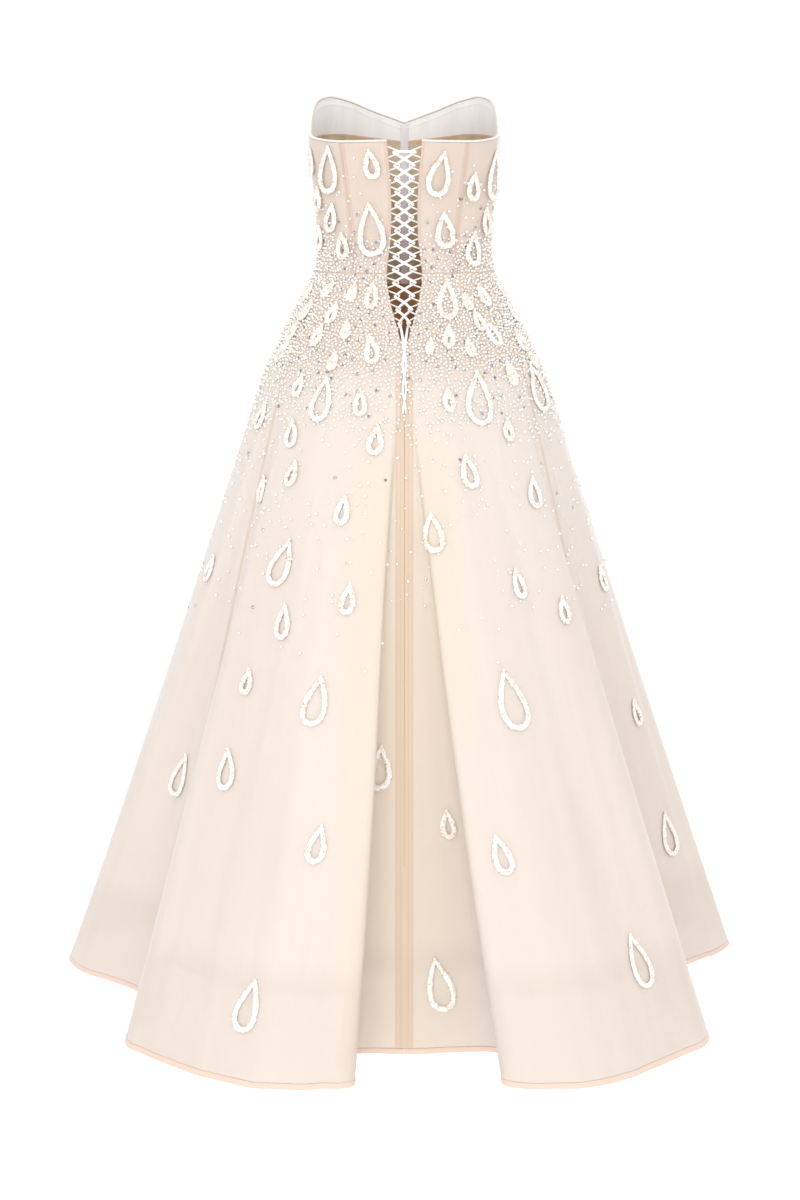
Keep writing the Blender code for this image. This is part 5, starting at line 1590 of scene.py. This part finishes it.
def make_materials():
    organza, deep_organza = (0.800, 0.722, 0.665), (0.780, 0.680, 0.610)
    tulle, deep_tulle = (0.715, 0.612, 0.538), (0.680, 0.565, 0.485)
    rose = (0.640, 0.485, 0.410)
    return {
        "organza": sheer_cloth("organza", organza, deep_organza, 0.82, (0.74, 0.60, 0.50), 0.0035,
                               skirt=True),
        "bodice": sheer_cloth("bodice_tulle", tulle, deep_tulle, 0.90, rose, 0.0052),
        "underskirt": plain_cloth("underskirt_tulle", (0.880, 0.780, 0.690), (0.840, 0.710, 0.610)),
        "skirt_lining": plain_cloth("skirt_lining_cloth", (0.66, 0.37, 0.19), (0.58, 0.30, 0.14)),
        "facing": plain_cloth("facing_satin", (0.87, 0.855, 0.835), (0.82, 0.80, 0.775), roughness=0.45,
                              sheen=0.1, edge=(0.66, 0.36, 0.22)),
        "front_lining": plain_cloth("front_lining_cloth", (0.64, 0.52, 0.37), (0.49, 0.36, 0.23)),
        "casing": plain_cloth("casing_tape", (0.80, 0.77, 0.81), (0.74, 0.70, 0.75), roughness=0.5),
        "seam_allowance": plain_cloth("seam_allowance_cloth", (0.70, 0.50, 0.38), (0.62, 0.42, 0.30)),
        "edge_binding": cord_cloth("edge_binding", (0.84, 0.79, 0.75), (0.80, 0.73, 0.68), 420.0),
        "hem_binding": plain_cloth("hem_binding", (0.74, 0.58, 0.49), (0.69, 0.52, 0.43)),
        "lace": cord_cloth("lace_satin", (0.95, 0.95, 0.94), (0.90, 0.89, 0.87), 520.0, 0.42),
        "loops": cord_cloth("loop_cord", (0.93, 0.92, 0.90), (0.86, 0.84, 0.80), 700.0),
        "drop": beaded_cord("beaded_cord"),
        "seed": pearl_finish("seed_bead", (0.95, 0.90, 0.86), (0.88, 0.76, 0.68), 0.20),
        "pearl": pearl_finish("pearl", (0.95, 0.935, 0.91), (0.90, 0.86, 0.81)),
        "crystal": metal_finish("crystal", (0.62, 0.63, 0.65), (0.26, 0.26, 0.28), 0.10, 0.85),
        "gold": metal_finish("gold_bead", (0.90, 0.66, 0.36), (0.80, 0.46, 0.20), 0.22, 0.75),
    }


def camera():
    data = bpy.data.cameras.new("camera")
    data.lens = CAMERA_LENS
    data.sensor_width = 36.0
    data.clip_end = 60.0
    thing = bpy.data.objects.new("camera", data)
    thing.location = (CAMERA_SIDE, CAMERA_DISTANCE, CAMERA_RISE)
    thing.rotation_euler = (math.pi / 2 - CAMERA_PITCH, 0.0, math.pi + CAMERA_TURN)
    bpy.context.scene.collection.objects.link(thing)
    bpy.context.scene.camera = thing


def area_light(name, place, size, power):
    data = bpy.data.lights.new(name, "AREA")
    data.size = size
    data.energy = power
    light = bpy.data.objects.new(name, data)
    light.location = place
    bpy.context.scene.collection.objects.link(light)
    aim = np.array(LIGHT_AIM) - np.array(place)
    light.rotation_euler = Vector(aim).to_track_quat("-Z", "Y").to_euler()


def studio():
    """A pale floor that curves up far away on all sides, with soft light from in front, above and behind."""
    low = HEM - FLOOR_GAP
    rings = [(0.0, low)]
    rings += [(STAGE_RADIUS * share, low) for share in (0.1, 0.3, 0.5, 0.7)]
    bend = STAGE_RADIUS * 0.3
    for step in range(1, 13):
        turn = math.pi / 2 * step / 12
        rings.append((STAGE_RADIUS - bend + bend * math.sin(turn), low + bend - bend * math.cos(turn)))
    rings.append((STAGE_RADIUS, low + STAGE_RISE))
    sides = STAGE_SIDES
    turns = [2 * math.pi * side / sides for side in range(sides)]
    shape = bmesh.new()
    middle = shape.verts.new((0.0, 0.0, low))
    circles = [
        [shape.verts.new((radius * math.cos(turn), radius * math.sin(turn), height)) for turn in turns]
        for radius, height in rings[1:]
    ]
    for side in range(sides):
        after = (side + 1) % sides
        shape.faces.new((middle, circles[0][side], circles[0][after]))
        for inner, outer in zip(circles, circles[1:]):
            shape.faces.new((inner[side], outer[side], outer[after], inner[after]))
    mesh = bpy.data.meshes.new("floor")
    shape.to_mesh(mesh)
    shape.free()
    mesh.shade_smooth()
    floor = bpy.data.objects.new("floor", mesh)
    material = new_material("floor", (0.92, 0.92, 0.92), 0.9, Specular_IOR_Level=0.1)
    mesh.materials.append(material)
    bpy.context.scene.collection.objects.link(floor)

    world = bpy.data.worlds.new("studio")
    world.use_nodes = True
    world.node_tree.nodes["Background"].inputs["Color"].default_value = (1.0, 1.0, 1.0, 1.0)
    world.node_tree.nodes["Background"].inputs["Strength"].default_value = WORLD_STRENGTH
    bpy.context.scene.world = world
    bpy.context.scene.view_settings.view_transform = "Standard"
    for light in LIGHTS:
        area_light(*light)


def write_cuts():
    for name, (width, length), area in CUTS:
        print(f"cut {name}: {width:.3f} x {length:.3f} m, {area:.4f} m2")


def dress():
    rng = np.random.default_rng(RANDOM_SEED)
    materials = make_materials()
    camera()
    lacing(materials)
    bodice(materials)
    inside_front(materials)
    top_binding(materials)
    skirt(materials)
    underlayers(materials)
    hem_binding(materials)
    seam_allowances(materials)
    drop_seeds, drop_pearls = drops(materials, rng)
    beading(materials, rng, drop_seeds, drop_pearls)
    studio()
    write_cuts()


dress()
